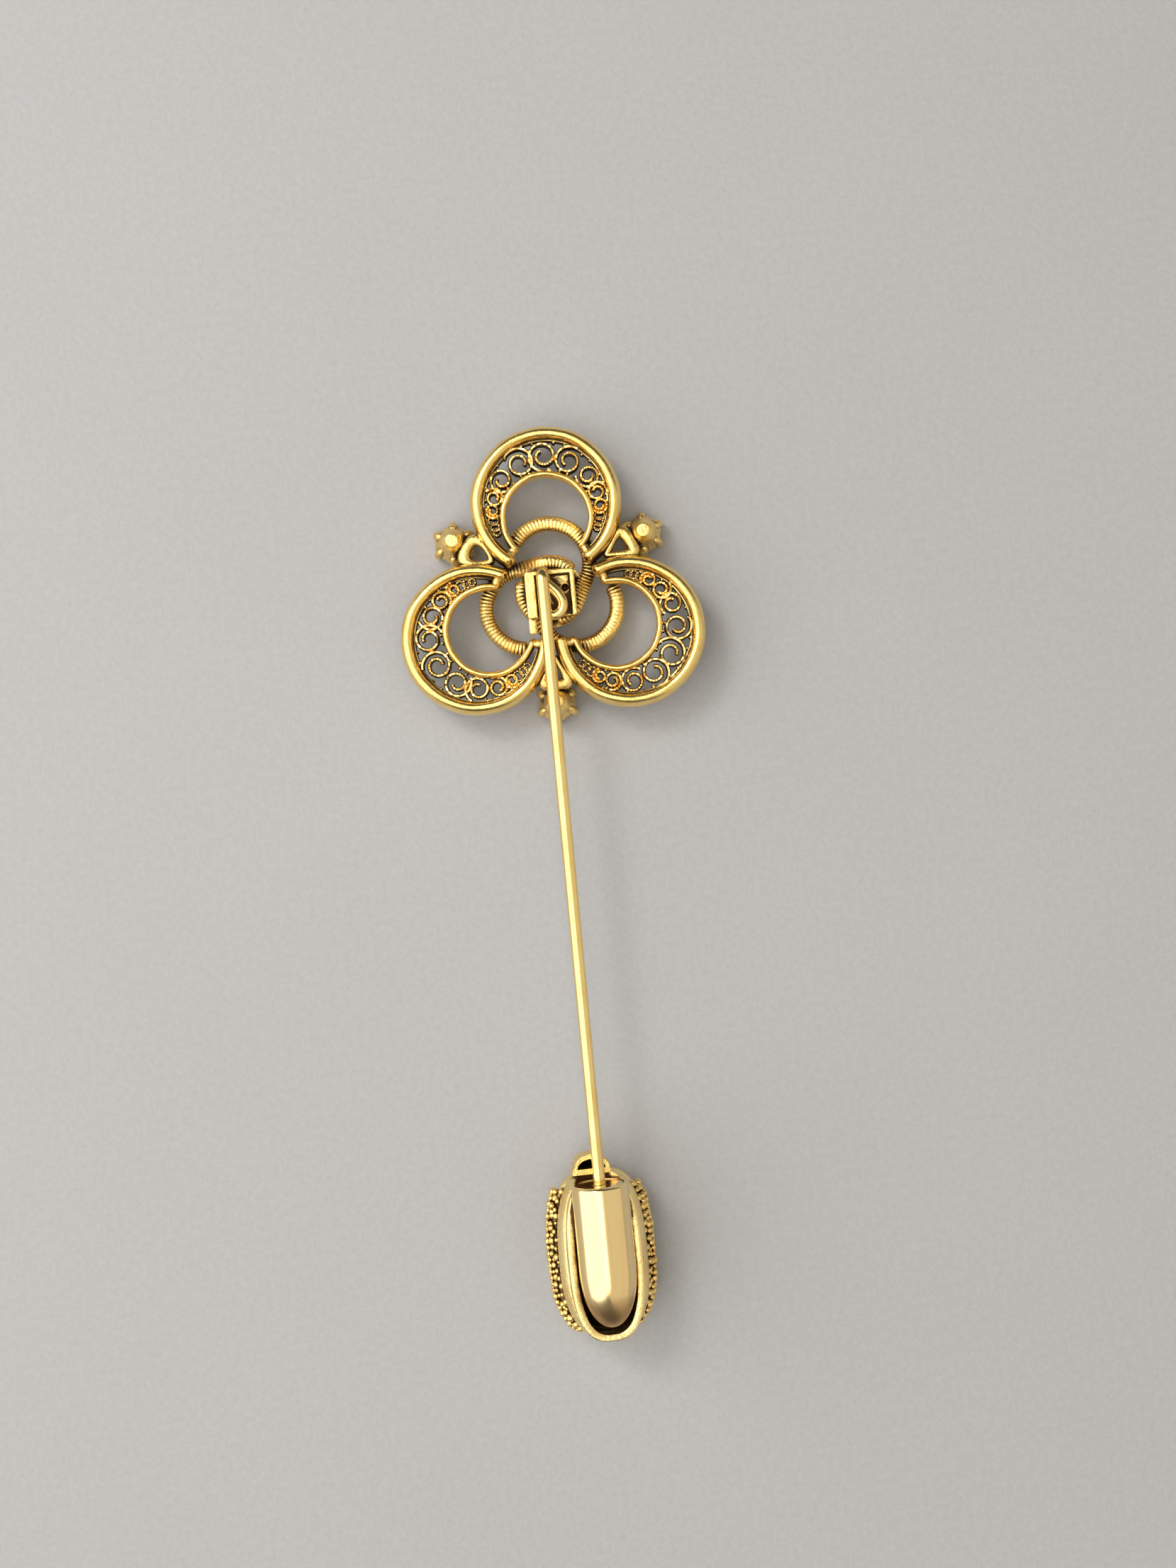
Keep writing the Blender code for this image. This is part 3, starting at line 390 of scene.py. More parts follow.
def floor_finish():
    f = Finish("pale_floor")
    grain = f.noise(1900.0, 4.0, 0.7)
    tint = f.noise(40.0, 2.0)
    colour = f.mix(grain.between(0.3, 0.7) * 0.35 + tint * 0.25, (0.40, 0.40, 0.41), (0.49, 0.49, 0.50))
    return f.put(Base_Color=colour, Roughness=0.9, Normal=f.bump(grain, 0.05 * MM))


# ---------------------------------------------------------------------------
# Mesh tools
# ---------------------------------------------------------------------------

def smooth_line(points, steps, closed=False):
    """Points on a Catmull-Rom curve through the given ones, as rows of numbers."""
    p = np.array(points, float)
    if closed:
        ends = np.vstack([p[-1], p, p[0], p[1]])
    else:
        ends = np.vstack([2 * p[0] - p[1], p, 2 * p[-1] - p[-2]])
    rows = []
    for a, b, c, d in zip(ends, ends[1:], ends[2:], ends[3:]):
        for i in range(steps):
            t = i / steps
            square, cube = 2 * a - 5 * b + 4 * c - d, 3 * b - a - 3 * c + d
            rows.append(0.5 * (2 * b + (c - a) * t + square * t ** 2 + cube * t ** 3))
    if not closed:
        rows.append(p[-1])
    return np.array(rows)


def skin(name, rings, closed=False, sharp=DRAWN_EDGE):
    """A mesh over equal rings of points; open ends are capped, and its faces point outwards."""
    rings = np.array(rings, float)
    count, size = rings.shape[:2]
    faces = []
    for i in range(count if closed else count - 1):
        a = i * size
        b = (i + 1) % count * size
        faces += [(a + k, a + (k + 1) % size, b + (k + 1) % size, b + k) for k in range(size)]
    if not closed:
        faces.append(tuple(reversed(range(size))))
        faces.append(tuple(range((count - 1) * size, count * size)))
    mesh = bpy.data.meshes.new(name)
    mesh.from_pydata(rings.reshape(-1, 3).tolist(), [], faces)
    return finished(name, mesh, sharp)


def in_scene(name, data):
    """An object in the scene that holds a mesh, a lamp or a camera."""
    obj = bpy.data.objects.new(name, data)
    bpy.context.scene.collection.objects.link(obj)
    return obj


def shaded(mesh, sharp):
    """Shades a mesh smoothly, but for edges past the sharp angle."""
    mesh.shade_smooth()
    mesh.set_sharp_from_angle(angle=sharp)
    return mesh


def finished(name, mesh, sharp=DRAWN_EDGE):
    """Turns faces outwards, shades smoothly and makes the object."""
    bm = bmesh.new()
    bm.from_mesh(mesh)
    bmesh.ops.remove_doubles(bm, verts=bm.verts, dist=1e-8)
    bmesh.ops.recalc_face_normals(bm, faces=bm.faces)
    if bm.calc_volume(signed=True) < 0:
        bmesh.ops.reverse_faces(bm, faces=bm.faces)
    bm.to_mesh(mesh)
    bm.free()
    return in_scene(name, shaded(mesh, sharp))


def moved(obj, angle=0.0, offset=(0.0, 0.0, 0.0)):
    """Turns a piece's mesh about Z, then moves it."""
    obj.data.transform(Matrix.Translation(Vector(offset)) @ Matrix.Rotation(angle, 4, "Z"))
    return obj


def joined(name, parts):
    """One piece from several meshes."""
    bm = bmesh.new()
    for part in parts:
        bm.from_mesh(part.data)
        bpy.data.objects.remove(part)
    mesh = bpy.data.meshes.new(name)
    bm.to_mesh(mesh)
    bm.free()
    return in_scene(name, shaded(mesh, JOINED_EDGE))


def rightwards(along):
    """Level unit vectors to the right of the given directions."""
    right = np.stack([along[:, 1], -along[:, 0], np.zeros(len(along))], axis=1)
    return right / np.linalg.norm(right, axis=1)[:, None]


def arc_line(centre_x, radius, start, end, steps):
    """Rows of points on an arc in the XY plane."""
    a = np.linspace(start, end, steps + 1)
    return np.stack([centre_x + radius * np.cos(a), radius * np.sin(a), np.zeros_like(a)], axis=1)


def evenly(line, step):
    """The same line with points at an even distance."""
    gaps = np.linalg.norm(np.diff(line, axis=0), axis=1)
    along = np.concatenate([[0.0], np.cumsum(gaps)])
    count = max(2, int(round(along[-1] / step)))
    at = np.linspace(0.0, along[-1], count + 1)
    return np.stack([np.interp(at, along, line[:, k]) for k in range(3)], axis=1), at


def flat_rings(line, section, scale, lift=0.0):
    """Rings of a section of (right, up) pairs along a level line, scaled and lifted at each point."""
    right = rightwards(np.gradient(line, axis=0))
    lifts = np.broadcast_to(lift, len(line))
    rings = []
    for i, point in enumerate(line):
        shape = section(i) if callable(section) else section
        middle = shape.mean(axis=0)
        shape = middle + (shape - middle) * scale[i]
        rings.append(point + right[i] * shape[:, :1] + UP * (shape[:, 1:] + lifts[i]))
    return rings


def quarter_round(share, least=0.0009):
    """Height of a quarter circle over its run, squared no lower than the least."""
    return np.sqrt(np.clip(1 - (1 - share) ** 2, least, 1.0))


def rounded_ends(at, length):
    """Scale along a strip whose ends close in a quarter circle."""
    return quarter_round(np.clip(np.minimum(at, at[-1] - at) / length, 0.0, 1.0))


def smooth_step(value, low, high):
    """0 below low, 1 above high, and smooth in between."""
    share = np.clip((value - low) / (high - low), 0.0, 1.0)
    return share * share * (3 - 2 * share)


def squarer(value, power):
    """A sine or cosine with its sign kept and its size raised to a power, which squares the round it draws."""
    return np.sign(value) * np.abs(value) ** power


def round_rings(line, radii, sides):
    """Rings of a round wire along a line in space."""
    along = np.gradient(line, axis=0)
    along /= np.linalg.norm(along, axis=1)[:, None]
    normal = np.cross(along[0], UP)
    if np.linalg.norm(normal) < 0.3:
        normal = np.cross(along[0], [1.0, 0.0, 0.0])
    turns = np.linspace(0, TURN, sides, endpoint=False)
    c, s = np.cos(turns)[:, None], np.sin(turns)[:, None]
    rings = []
    for point, radius, ahead in zip(line, radii, along):
        normal = normal - ahead * normal.dot(ahead)
        normal /= np.linalg.norm(normal)
        rings.append(point + radius * (c * normal + s * np.cross(ahead, normal)))
    return rings


def wave(angle, seed, amount):
    """A small smooth unevenness, as hand work leaves."""
    slow = 0.5 * np.sin(3 * angle + seed)
    quick = 0.3 * np.sin(7 * angle + 2.1 * seed) + 0.2 * np.sin(13 * angle + 3.7 * seed)
    return amount * (slow + quick)


# ---------------------------------------------------------------------------
# Rims
# ---------------------------------------------------------------------------

def outer_rim_section():
    """Rounded crown, a small ledge on the inside and a flank that falls outwards."""
    w = RIM_WIDTH / 2
    h = RIM_HEIGHT
    corners = [
        (-0.84 * w, 0.00 * h), (-1.00 * w, 0.08 * h), (-1.00 * w, 0.52 * h), (-0.93 * w, 0.57 * h),
        (-0.76 * w, 0.59 * h), (-0.72 * w, 0.66 * h), (-0.68 * w, 0.84 * h), (-0.46 * w, 0.955 * h),
        (-0.14 * w, 0.998 * h), (0.20 * w, 0.985 * h), (0.52 * w, 0.91 * h), (0.78 * w, 0.77 * h),
        (0.94 * w, 0.58 * h), (1.00 * w, 0.36 * h), (0.98 * w, 0.12 * h), (0.84 * w, 0.00 * h),
    ]
    return smooth_line(corners, 3, closed=True)


def inner_rim_section():
    w = INNER_RIM_WIDTH / 2
    h = INNER_RIM_HEIGHT
    corners = [
        (-0.80 * w, 0.0), (-w, 0.08 * h), (-w, 0.70 * h), (-0.86 * w, 0.88 * h), (-0.45 * w, 0.98 * h),
        (0.0, h), (0.50 * w, 0.97 * h), (0.88 * w, 0.86 * h), (w, 0.68 * h), (w, 0.08 * h), (0.80 * w, 0.0),
    ]
    return smooth_line(corners, 3, closed=True)


def rim(name, centre_x, radius, span, section, seed):
    """A strip bent to a horseshoe, a little uneven, with rounded ends."""
    line = arc_line(centre_x, radius, -span, span, 260)
    angles = np.linspace(-span, span, len(line))
    out = line - np.array([centre_x, 0.0, 0.0])
    line = line + out / radius * wave(angles, seed, 0.035 * MM)[:, None]
    at = (angles - angles[0]) * radius
    lift = RIM_FRONT_Z + wave(angles * 1.7, seed + 1.3, 0.03 * MM)
    return skin(name, flat_rings(line, section, rounded_ends(at, 0.45 * MM), lift))


def make_rims(metal):
    outer, inner = outer_rim_section(), inner_rim_section()
    outer_radius = LOBE_RADIUS - RIM_WIDTH / 2
    inner_radius = HOLE_RADIUS + INNER_RIM_WIDTH / 2
    for number, angle in enumerate(LOBE_ANGLES, start=1):
        piece = rim(f"lobe_rim_{number}", LOBE_REACH, outer_radius, RIM_SPAN, outer, 2.0 * number)
        place_on_head(piece, angle, metal, f"outer_rim_{number}")
        piece = rim(f"hole_rim_{number}", HOLE_REACH, inner_radius, INNER_RIM_SPAN, inner, 5.0 * number + 1)
        place_on_head(piece, angle, metal, f"inner_rim_{number}")


def finish_piece(piece, body, metal, *nodes):
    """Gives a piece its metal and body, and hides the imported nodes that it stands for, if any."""
    piece.data.materials.clear()
    piece.data.materials.append(metal)
    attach(piece, body)
    piece["rides_on"] = body
    if nodes:
        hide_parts(*nodes)


def place_on_head(piece, angle, metal, *nodes):
    """Turns a piece from the X axis to its place round the head, and finishes it."""
    finish_piece(moved(piece, angle, HEAD_CENTRE), "head", metal, *nodes)


def place_on_clutch(piece, metal, *nodes):
    """Takes a piece from the clutch's own axes to the frame, and finishes it."""
    piece.data.transform(Matrix.Translation(CLUTCH_AXIS) @ Matrix.Rotation(CLUTCH_ROLL, 4, "Y"))
    finish_piece(piece, "clutch", metal, *nodes)


# ---------------------------------------------------------------------------
# Knot arms
# ---------------------------------------------------------------------------

def arm_line():
    """The arm's path: over the lobe's hole, straight to the hub, and round it."""
    leave = -math.acos((HUB_RING_RADIUS - ARM_RADIUS) / ARM_CENTRE)
    over = arc_line(ARM_CENTRE, ARM_RADIUS, ARM_START, leave, 200)
    round_hub = arc_line(0.0, HUB_RING_RADIUS, leave, leave - ARM_ROUND_HUB, 60)
    return np.vstack([over[:-1], round_hub])


def make_arms(metal):
    """Ribbed arms that rise from the rims to lie over one another round the hub."""
    line, at = evenly(arm_line(), 0.035 * MM)
    low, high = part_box("knot_arm_1")
    rise = high.z - low.z - ARM_THICKNESS
    rise_point = arc_line(ARM_CENTRE, ARM_RADIUS, ARM_RISE, ARM_RISE, 0)[0]
    rise_at = at[np.argmin(np.linalg.norm(line - rise_point, axis=1))]
    hub_at = at[-1] - HUB_RING_RADIUS * ARM_ROUND_HUB
    lift = low.z + rise * smooth_step(at, rise_at, hub_at)
    turns = np.linspace(0, TURN, 40, endpoint=False)
    side, up = squarer(np.cos(turns), 0.85), squarer(np.sin(turns), 0.85)
    for number, angle in enumerate(LOBE_ANGLES, start=1):
        uneven = 1.1 * np.sin(at / (1.9 * MM) + number) + 0.5 * np.sin(at / (0.63 * MM) + 2 * number)
        rib = (0.5 + 0.5 * np.sin(at / ARM_RIB_PITCH * TURN + uneven)) ** 0.7
        strength = 0.10 * (0.65 + 0.35 * np.sin(at / (2.3 * MM) + 3 * number))
        grooves = 1.0 - strength * (1 - rib)

        def section(i, grooves=grooves):
            across = ARM_WIDTH / 2 * side * (0.985 * grooves[i])
            return np.stack([across, ARM_THICKNESS / 2 * (1 + up * grooves[i])], axis=1)

        piece = skin(f"ribbed_arm_{number}", flat_rings(line, section, rounded_ends(at, 0.35 * MM), lift))
        place_on_head(piece, angle, metal, f"knot_arm_{number}")


# ---------------------------------------------------------------------------
# Geometry Nodes
# ---------------------------------------------------------------------------

class Tree:
    """A geometry node tree with named inputs."""

    def __init__(self, name, **inputs):
        self.group = bpy.data.node_groups.new(name, "GeometryNodeTree")
        self.group.interface.new_socket("Geometry", in_out="INPUT", socket_type="NodeSocketGeometry")
        for label, value in inputs.items():
            kind = "NodeSocketInt" if isinstance(value, int) else "NodeSocketFloat"
            self.group.interface.new_socket(label, in_out="INPUT", socket_type=kind).default_value = value
        self.group.interface.new_socket("Geometry", in_out="OUTPUT", socket_type="NodeSocketGeometry")
        self.start = self.group.nodes.new("NodeGroupInput")
        self.end = self.group.nodes.new("NodeGroupOutput")

    def given(self, label):
        return self.start.outputs[label]

    def node(self, kind, settings=None, inputs=None, output=0):
        made = self.group.nodes.new(kind)
        for key, value in (settings or {}).items():
            setattr(made, key, value)
        for key, value in (inputs or {}).items():
            if isinstance(value, bpy.types.NodeSocket):
                self.group.links.new(value, made.inputs[key])
            else:
                made.inputs[key].default_value = value
        return made.outputs[output]

    def attribute(self, name):
        return self.node("GeometryNodeInputNamedAttribute", {"data_type": "FLOAT"}, {"Name": name})

    def maths(self, operation, *values):
        return self.node("ShaderNodeMath", {"operation": operation}, dict(enumerate(values)))

    def vector(self, x, y, z):
        return self.node("ShaderNodeCombineXYZ", None, {"X": x, "Y": y, "Z": z})

    def finish(self, geometry, metal):
        real = self.node("GeometryNodeRealizeInstances", None, {"Geometry": geometry})
        smooth = self.node("GeometryNodeSetShadeSmooth", None, {"Geometry": real})
        painted = self.node("GeometryNodeSetMaterial", None, {"Geometry": smooth, "Material": metal})
        self.group.links.new(painted, self.end.inputs["Geometry"])
        return self.group


def grown(name, seed_mesh, tree, **values):
    """Runs a tree on a mesh and keeps the result as a plain mesh object."""
    source = in_scene(name + "_seed", seed_mesh)
    modifier = source.modifiers.new("grow", "NODES")
    modifier.node_group = tree
    for item in tree.interface.items_tree:
        if item.in_out == "INPUT" and item.name in values:
            modifier[item.identifier] = values[item.name]
    graph = bpy.context.evaluated_depsgraph_get()
    mesh = bpy.data.meshes.new_from_object(source.evaluated_get(graph))
    source.modifiers.remove(modifier)
    bpy.data.objects.remove(source)
    mesh.name = name
    return in_scene(name, mesh)


def points_mesh(name, points, **attributes):
    """Loose points with a number each under every attribute name."""
    mesh = bpy.data.meshes.new(name)
    mesh.from_pydata([tuple(p) for p in points], [], [])
    for label, values in attributes.items():
        layer = mesh.attributes.new(label, "FLOAT", "POINT")
        layer.data.foreach_set("value", np.array(values, np.float32))
    return mesh


def line_mesh(name, line, closed=False):
    mesh = bpy.data.meshes.new(name)
    edges = [(i, i + 1) for i in range(len(line) - 1)]
    if closed:
        edges.append((len(line) - 1, 0))
    mesh.from_pydata([tuple(p) for p in line], edges, [])
    return mesh


def scroll_tree(metal):
    """Curls of milled ribbon on edge: one on every point, of its size, turn and hand."""
    t = Tree("scrolls", Turns=1.5, Eye=0.42, Wire=0.13 * MM, Milling=0.22 * MM, Depth=5.0)
    curl = t.node("GeometryNodeCurveSpiral", None, {
        "Resolution": 40, "Rotations": t.given("Turns"), "Start Radius": 1.0, "End Radius": t.given("Eye"),
        "Height": 0.0,
    })
    size = t.attribute("size")
    placed = t.node("GeometryNodeInstanceOnPoints", None, {
        "Points": t.given("Geometry"), "Instance": curl,
        "Rotation": t.vector(0.0, 0.0, t.attribute("turn")),
        "Scale": t.vector(size, t.maths("MULTIPLY", size, t.attribute("hand")), size),
    })
    real = t.node("GeometryNodeRealizeInstances", None, {"Geometry": placed})
    length = t.node("GeometryNodeSplineParameter", output=1)
    waves = t.maths("DIVIDE", length, t.given("Milling"))
    sine = t.maths("SINE", t.maths("MULTIPLY", waves, TURN))
    swell = t.maths("MULTIPLY_ADD", sine, MILLING_SWELL, 1.0)
    thick = t.maths("MULTIPLY", swell, t.given("Wire"))
    sized = t.node("GeometryNodeSetCurveRadius", None, {"Curve": real, "Radius": thick})
    square = t.node("GeometryNodeCurvePrimitiveQuadrilateral", {"mode": "RECTANGLE"}, {0: 2.0, 1: 2.0})
    profile = t.node("GeometryNodeFilletCurve", {"mode": "POLY"}, {"Curve": square, "Radius": 0.6, "Count": 2})
    ribbon = t.node("GeometryNodeCurveToMesh", None, {
        "Curve": sized, "Profile Curve": profile, "Scale": t.node("GeometryNodeInputRadius"), "Fill Caps": True,
    })
    deep = t.vector(1.0, 1.0, t.given("Depth"))
    return t.finish(t.node("GeometryNodeTransform", None, {"Geometry": ribbon, "Scale": deep}), metal)


def band_at(angle):
    """Middle radius and width of the filigree band, seen from midway between the rims' centres."""
    forward, sideways = HOLE_OFFSET / 2 * math.cos(angle), HOLE_OFFSET / 2 * math.sin(angle)
    outside = forward + math.sqrt((LOBE_RADIUS - RIM_WIDTH) ** 2 - sideways ** 2)
    inside = -forward + math.sqrt((HOLE_RADIUS + INNER_RIM_WIDTH) ** 2 - sideways ** 2)
    return (outside + inside) / 2, outside - inside


def scroll_angles():
    """Angles of the scrolls on one side of a lobe's band, each as far on as its own width asks."""
    angles = [0.0]
    for _ in range(SCROLLS_EACH_WAY):
        middle, width = band_at(angles[-1])
        narrower = band_at(angles[-1] + width * SCROLL_FILL / middle)[1]
        angles.append(angles[-1] + (width + narrower) / 2 * SCROLL_FILL / middle)
    return angles


def both_ways(angles):
    return [-angle for angle in reversed(angles)] + angles


def curl_spots(places, lobe_number):
    """Scrolls turned this way and that, none quite like the next."""
    spots = []
    for i, place in enumerate(places):
        drift = 0.018 * math.sin(4.3 * i + 2.1 * lobe_number)
        across = 0.02 * math.sin(6.1 * i + lobe_number)
        size = 0.55 + 0.025 * math.sin(5.1 * i + 1.7 * lobe_number)
        turn = place + math.pi * ((i + lobe_number) % 2) + 0.7 * math.sin(7.3 * i + 2.9 * lobe_number)
        spots.append((place + drift, across, size, turn, 1.0 if place >= 0 else -1.0))
    return spots


def sown(name, tree, spots, **values):
    """A tree grown on spots of (angle, shift across, size, turn, hand); shift and size are in band widths."""
    points, sizes = [], []
    for place, across, size, _, _ in spots:
        middle, width = band_at(place)
        radius = middle + across * width
        points.append((BAND_CENTRE_X + radius * math.cos(place), radius * math.sin(place), 0.0))
        sizes.append(size * width)
    _, _, _, turns, hands = zip(*spots)
    seed = points_mesh("spots", points, size=sizes, turn=turns, hand=hands)
    return grown(name, seed, tree, Depth=SCROLL_DEPTH, **values)


def make_filigree(metal):
    """Scrolls side by side in each lobe's band, rings in its narrow ends, and half rings in the gaps."""
    tree = scroll_tree(metal)
    angles = scroll_angles()
    places = both_ways(angles[1:])
    places.insert(len(places) // 2, 0.0)
    ring_places = both_ways([angles[-1] + step for step in (0.16, 0.29, 0.39)])
    gaps = [(a + b) / 2 for a, b in zip(places, places[1:])]
    ring_spots = [(place, 0.0, 0.42, place, 1.0) for place in ring_places]
    link_spots = [(place, 0.43 * side, 0.20, place - math.pi / 2, -side)
                  for place in gaps for side in (-1.0, 1.0)]
    for number, lobe in enumerate(LOBE_ANGLES, start=1):
        curls = sown("curls", tree, curl_spots(places, number),
                     Turns=1.5, Eye=0.34, Wire=SCROLL_WIRE, Milling=SCROLL_MILLING)
        rings = sown("rings", tree, ring_spots,
                     Turns=1.02, Eye=0.92, Wire=SCROLL_WIRE * 0.75, Milling=SCROLL_MILLING)
        links = sown("links", tree, link_spots,
                     Turns=0.5, Eye=1.0, Wire=SCROLL_WIRE * 0.85, Milling=1.25 * SCROLL_MILLING)
        web = joined(f"scrolls_{number}", [curls, rings, links])
        moved(web, offset=(0.0, 0.0, SCROLL_CREST_Z - SCROLL_WIRE * SCROLL_DEPTH))
        place_on_head(web, lobe, metal, *[f"scroll_{number}_{k}" for k in range(1, 10)])


def make_tips(metal):
    """Solder webs that close the narrow ends of each band, from the inner rim's end to the outer rim's."""
    low, high = RIM_FRONT_Z + 0.72 * INNER_RIM_HEIGHT, RIM_FRONT_Z + 0.84 * INNER_RIM_HEIGHT
    outer_radius = LOBE_RADIUS - 0.55 * RIM_WIDTH
    inner_radius = HOLE_RADIUS + 0.5 * INNER_RIM_WIDTH
    for number, lobe in enumerate(LOBE_ANGLES, start=1):
        parts = []
        for side in (-1.0, 1.0):
            near, far = side * (INNER_RIM_SPAN - 0.11), side * (RIM_SPAN - 0.10)
            start = np.array([HOLE_REACH + inner_radius * math.cos(near), inner_radius * math.sin(near), low])
            end = np.array([LOBE_REACH + outer_radius * math.cos(far), outer_radius * math.sin(far), high])
            middle = (start + end) / 2 + np.array([0.12 * MM, 0.0, -0.05 * MM])
            line = smooth_line([start, middle, end], 8)
            share = np.linspace(0, 1, len(line))
            radii = 0.46 * MM * (1.0 - 0.22 * np.sin(math.pi * share)) * rounded_ends(share, 0.16)
            parts.append(skin("tip", round_rings(line, radii, 18)))
        place_on_head(joined(f"solder_tips_{number}", parts), lobe, metal)


# ---------------------------------------------------------------------------
# Hub
# ---------------------------------------------------------------------------

def plate_height(x, y):
    """Back of the plate above its low field: raised bar and edges, cast lumps and a pit round the hole."""
    soft = 0.10 * MM
    low, high = -PLATE_EDGE_WIDTH - soft, -PLATE_EDGE_WIDTH + soft
    raised = 1 - smooth_step(x - plate_low.x, PLATE_BAR_WIDTH - soft, PLATE_BAR_WIDTH + soft)
    raised = np.maximum(raised, smooth_step(x - plate_high.x, low, high))
    raised = np.maximum(raised, smooth_step(y - plate_high.y, low, high))
    lumps = 0.5 * np.sin(x / (0.31 * MM) + 1.3) * np.sin(y / (0.27 * MM) + 0.4)
    lumps += 0.5 * np.sin(x / (0.13 * MM) + 2.2 * np.sin(y / (0.4 * MM))) * np.sin(y / (0.17 * MM) + 0.9)
    hole = np.hypot(x - HEAD_CENTRE.x - PLATE_HOLE_AT[0], y - HEAD_CENTRE.y - PLATE_HOLE_AT[1])
    pit = 1 - smooth_step(hole, PLATE_HOLE_RADIUS * 0.7, PLATE_HOLE_RADIUS * 1.6)
    return PLATE_EDGE_HEIGHT * raised + 0.022 * MM * lumps - 0.55 * MM * pit


def make_plate(metal):
    """Cast plate on the back of the hub: a grid on each face, closed round the edge."""
    count = 96
    corner = 0.30 * MM
    rounding = 0.16 * MM
    spread = squarer(np.linspace(-1, 1, count), 0.8)
    low = np.array([plate_low.x, plate_high.y - PLATE_LENGTH])
    high = np.array([plate_high.x, plate_high.y])
    middle, half = (low + high) / 2, (high - low) / 2
    rows = []
    for v in spread:
        for u in spread:
            flat = np.array([u, v]) * half
            past = np.maximum(np.abs(flat) - (half - corner), 0.0)
            reach = np.hypot(*past)
            if reach > 0:
                flat = np.sign(flat) * (np.minimum(np.abs(flat), half - corner) + past / reach * max(past))
            rows.append(middle + flat)
    rows = np.array(rows)
    edge = np.maximum(np.abs(spread)[:, None], np.abs(spread)[None, :]).reshape(-1)
    inward = np.clip((1 - edge) * half.min() / rounding, 0, 1)
    fall = rounding * (1 - quarter_round(inward, 0.0))
    field_z = plate_high.z - PLATE_EDGE_HEIGHT
    z = np.minimum(field_z + plate_height(rows[:, 0], rows[:, 1]) - fall, plate_high.z)
    back = np.column_stack([rows, z])
    front = np.column_stack([rows, np.full(len(rows), plate_low.z)])
    under = count * count
    faces = []
    for a in [j * count + i for j in range(count - 1) for i in range(count - 1)]:
        faces.append((a, a + 1, a + count + 1, a + count))
        faces.append(tuple(k + under for k in (a, a + count, a + count + 1, a + 1)))
    last = count - 1
    ring = list(range(last)) + [k * count + last for k in range(last)]
    ring += [last * count + last - k for k in range(last)] + [(last - k) * count for k in range(last)]
    for a, b in zip(ring, ring[1:] + ring[:1]):
        faces.append((b, a, a + under, b + under))
    mesh = bpy.data.meshes.new("back_plate")
    mesh.from_pydata(np.vstack([back, front]).tolist(), [], faces)
    finish_piece(finished("back_plate", mesh, PLATE_EDGE), "head", metal, "hub_plate")


def make_stalk(metal):
    """Flat strip that runs from under the plate along its bar."""
    steps = 40
    overlap = 0.3 * MM
    line = np.stack([
        np.full(steps, plate_low.x + STALK_WIDTH / 2 + SOLDER_GAP / 2),
        np.linspace(plate_high.y - PLATE_LENGTH + overlap, plate_low.y, steps),
        np.full(steps, rim_high.z + SOLDER_GAP),
    ], axis=1)
    turns = np.linspace(0, TURN, 24, endpoint=False)
    section = np.stack([
        STALK_WIDTH / 2 * 0.94 * squarer(np.cos(turns), 0.6),
        STALK_THICKNESS / 2 * (1 + squarer(np.sin(turns), 0.6)),
    ], axis=1)
    at = np.linspace(0, STALK_LENGTH + overlap, steps)
    finish_piece(skin("plate_stalk", flat_rings(line, section, rounded_ends(at, 0.2 * MM))), "head", metal)


def lathe(name, profile, sides=96, axis="Y", closed=False, swell=None):
    """Turns a profile of (radius, height) pairs; swell scales the radius round the turn at each level."""
    turns = np.linspace(0, TURN, sides, endpoint=False)
    rings = []
    for level, (radius, height) in enumerate(profile):
        r = radius * (swell(level, turns) if swell else np.ones(sides))
        across, other, up = r * np.cos(turns), r * np.sin(turns), np.full(sides, height)
        rings.append(np.stack([across, up, other] if axis == "Y" else [across, other, up], axis=1))
    return skin(name, rings, closed, TURNED_EDGE)


def granule_tree(metal):
    """Small beads along a line, a little uneven in size and place."""
    t = Tree("granules", Pitch=0.6 * MM, Bead=0.25 * MM, Uneven=0.2, Stray=0.03 * MM, Seed=3)
    uneven, stray, seed = t.given("Uneven"), t.given("Stray"), t.given("Seed")
    curve = t.node("GeometryNodeMeshToCurve", None, {"Mesh": t.given("Geometry")})
    even = t.node("GeometryNodeResampleCurve", {"mode": "LENGTH"}, {"Curve": curve, "Length": t.given("Pitch")})
    ends = t.node("GeometryNodeCurveToPoints", {"mode": "EVALUATED"}, {"Curve": even})
    ball = t.node("GeometryNodeMeshIcoSphere", None, {"Radius": t.given("Bead"), "Subdivisions": 2})
    size = t.node("FunctionNodeRandomValue", {"data_type": "FLOAT"}, {
        2: t.maths("SUBTRACT", 1.0, uneven), 3: t.maths("ADD", 1.0, uneven), "Seed": seed,
    }, output=1)
    less = t.maths("MULTIPLY", stray, -1.0)
    shift = t.node("FunctionNodeRandomValue", {"data_type": "FLOAT_VECTOR"}, {
        0: t.vector(less, less, less), 1: t.vector(stray, stray, stray), "Seed": seed,
    })
    strewn = t.node("GeometryNodeSetPosition", None, {"Geometry": ends, "Offset": shift})
    return t.finish(t.node("GeometryNodeInstanceOnPoints", None, {
        "Points": strewn, "Instance": ball, "Scale": size,
    }), metal)


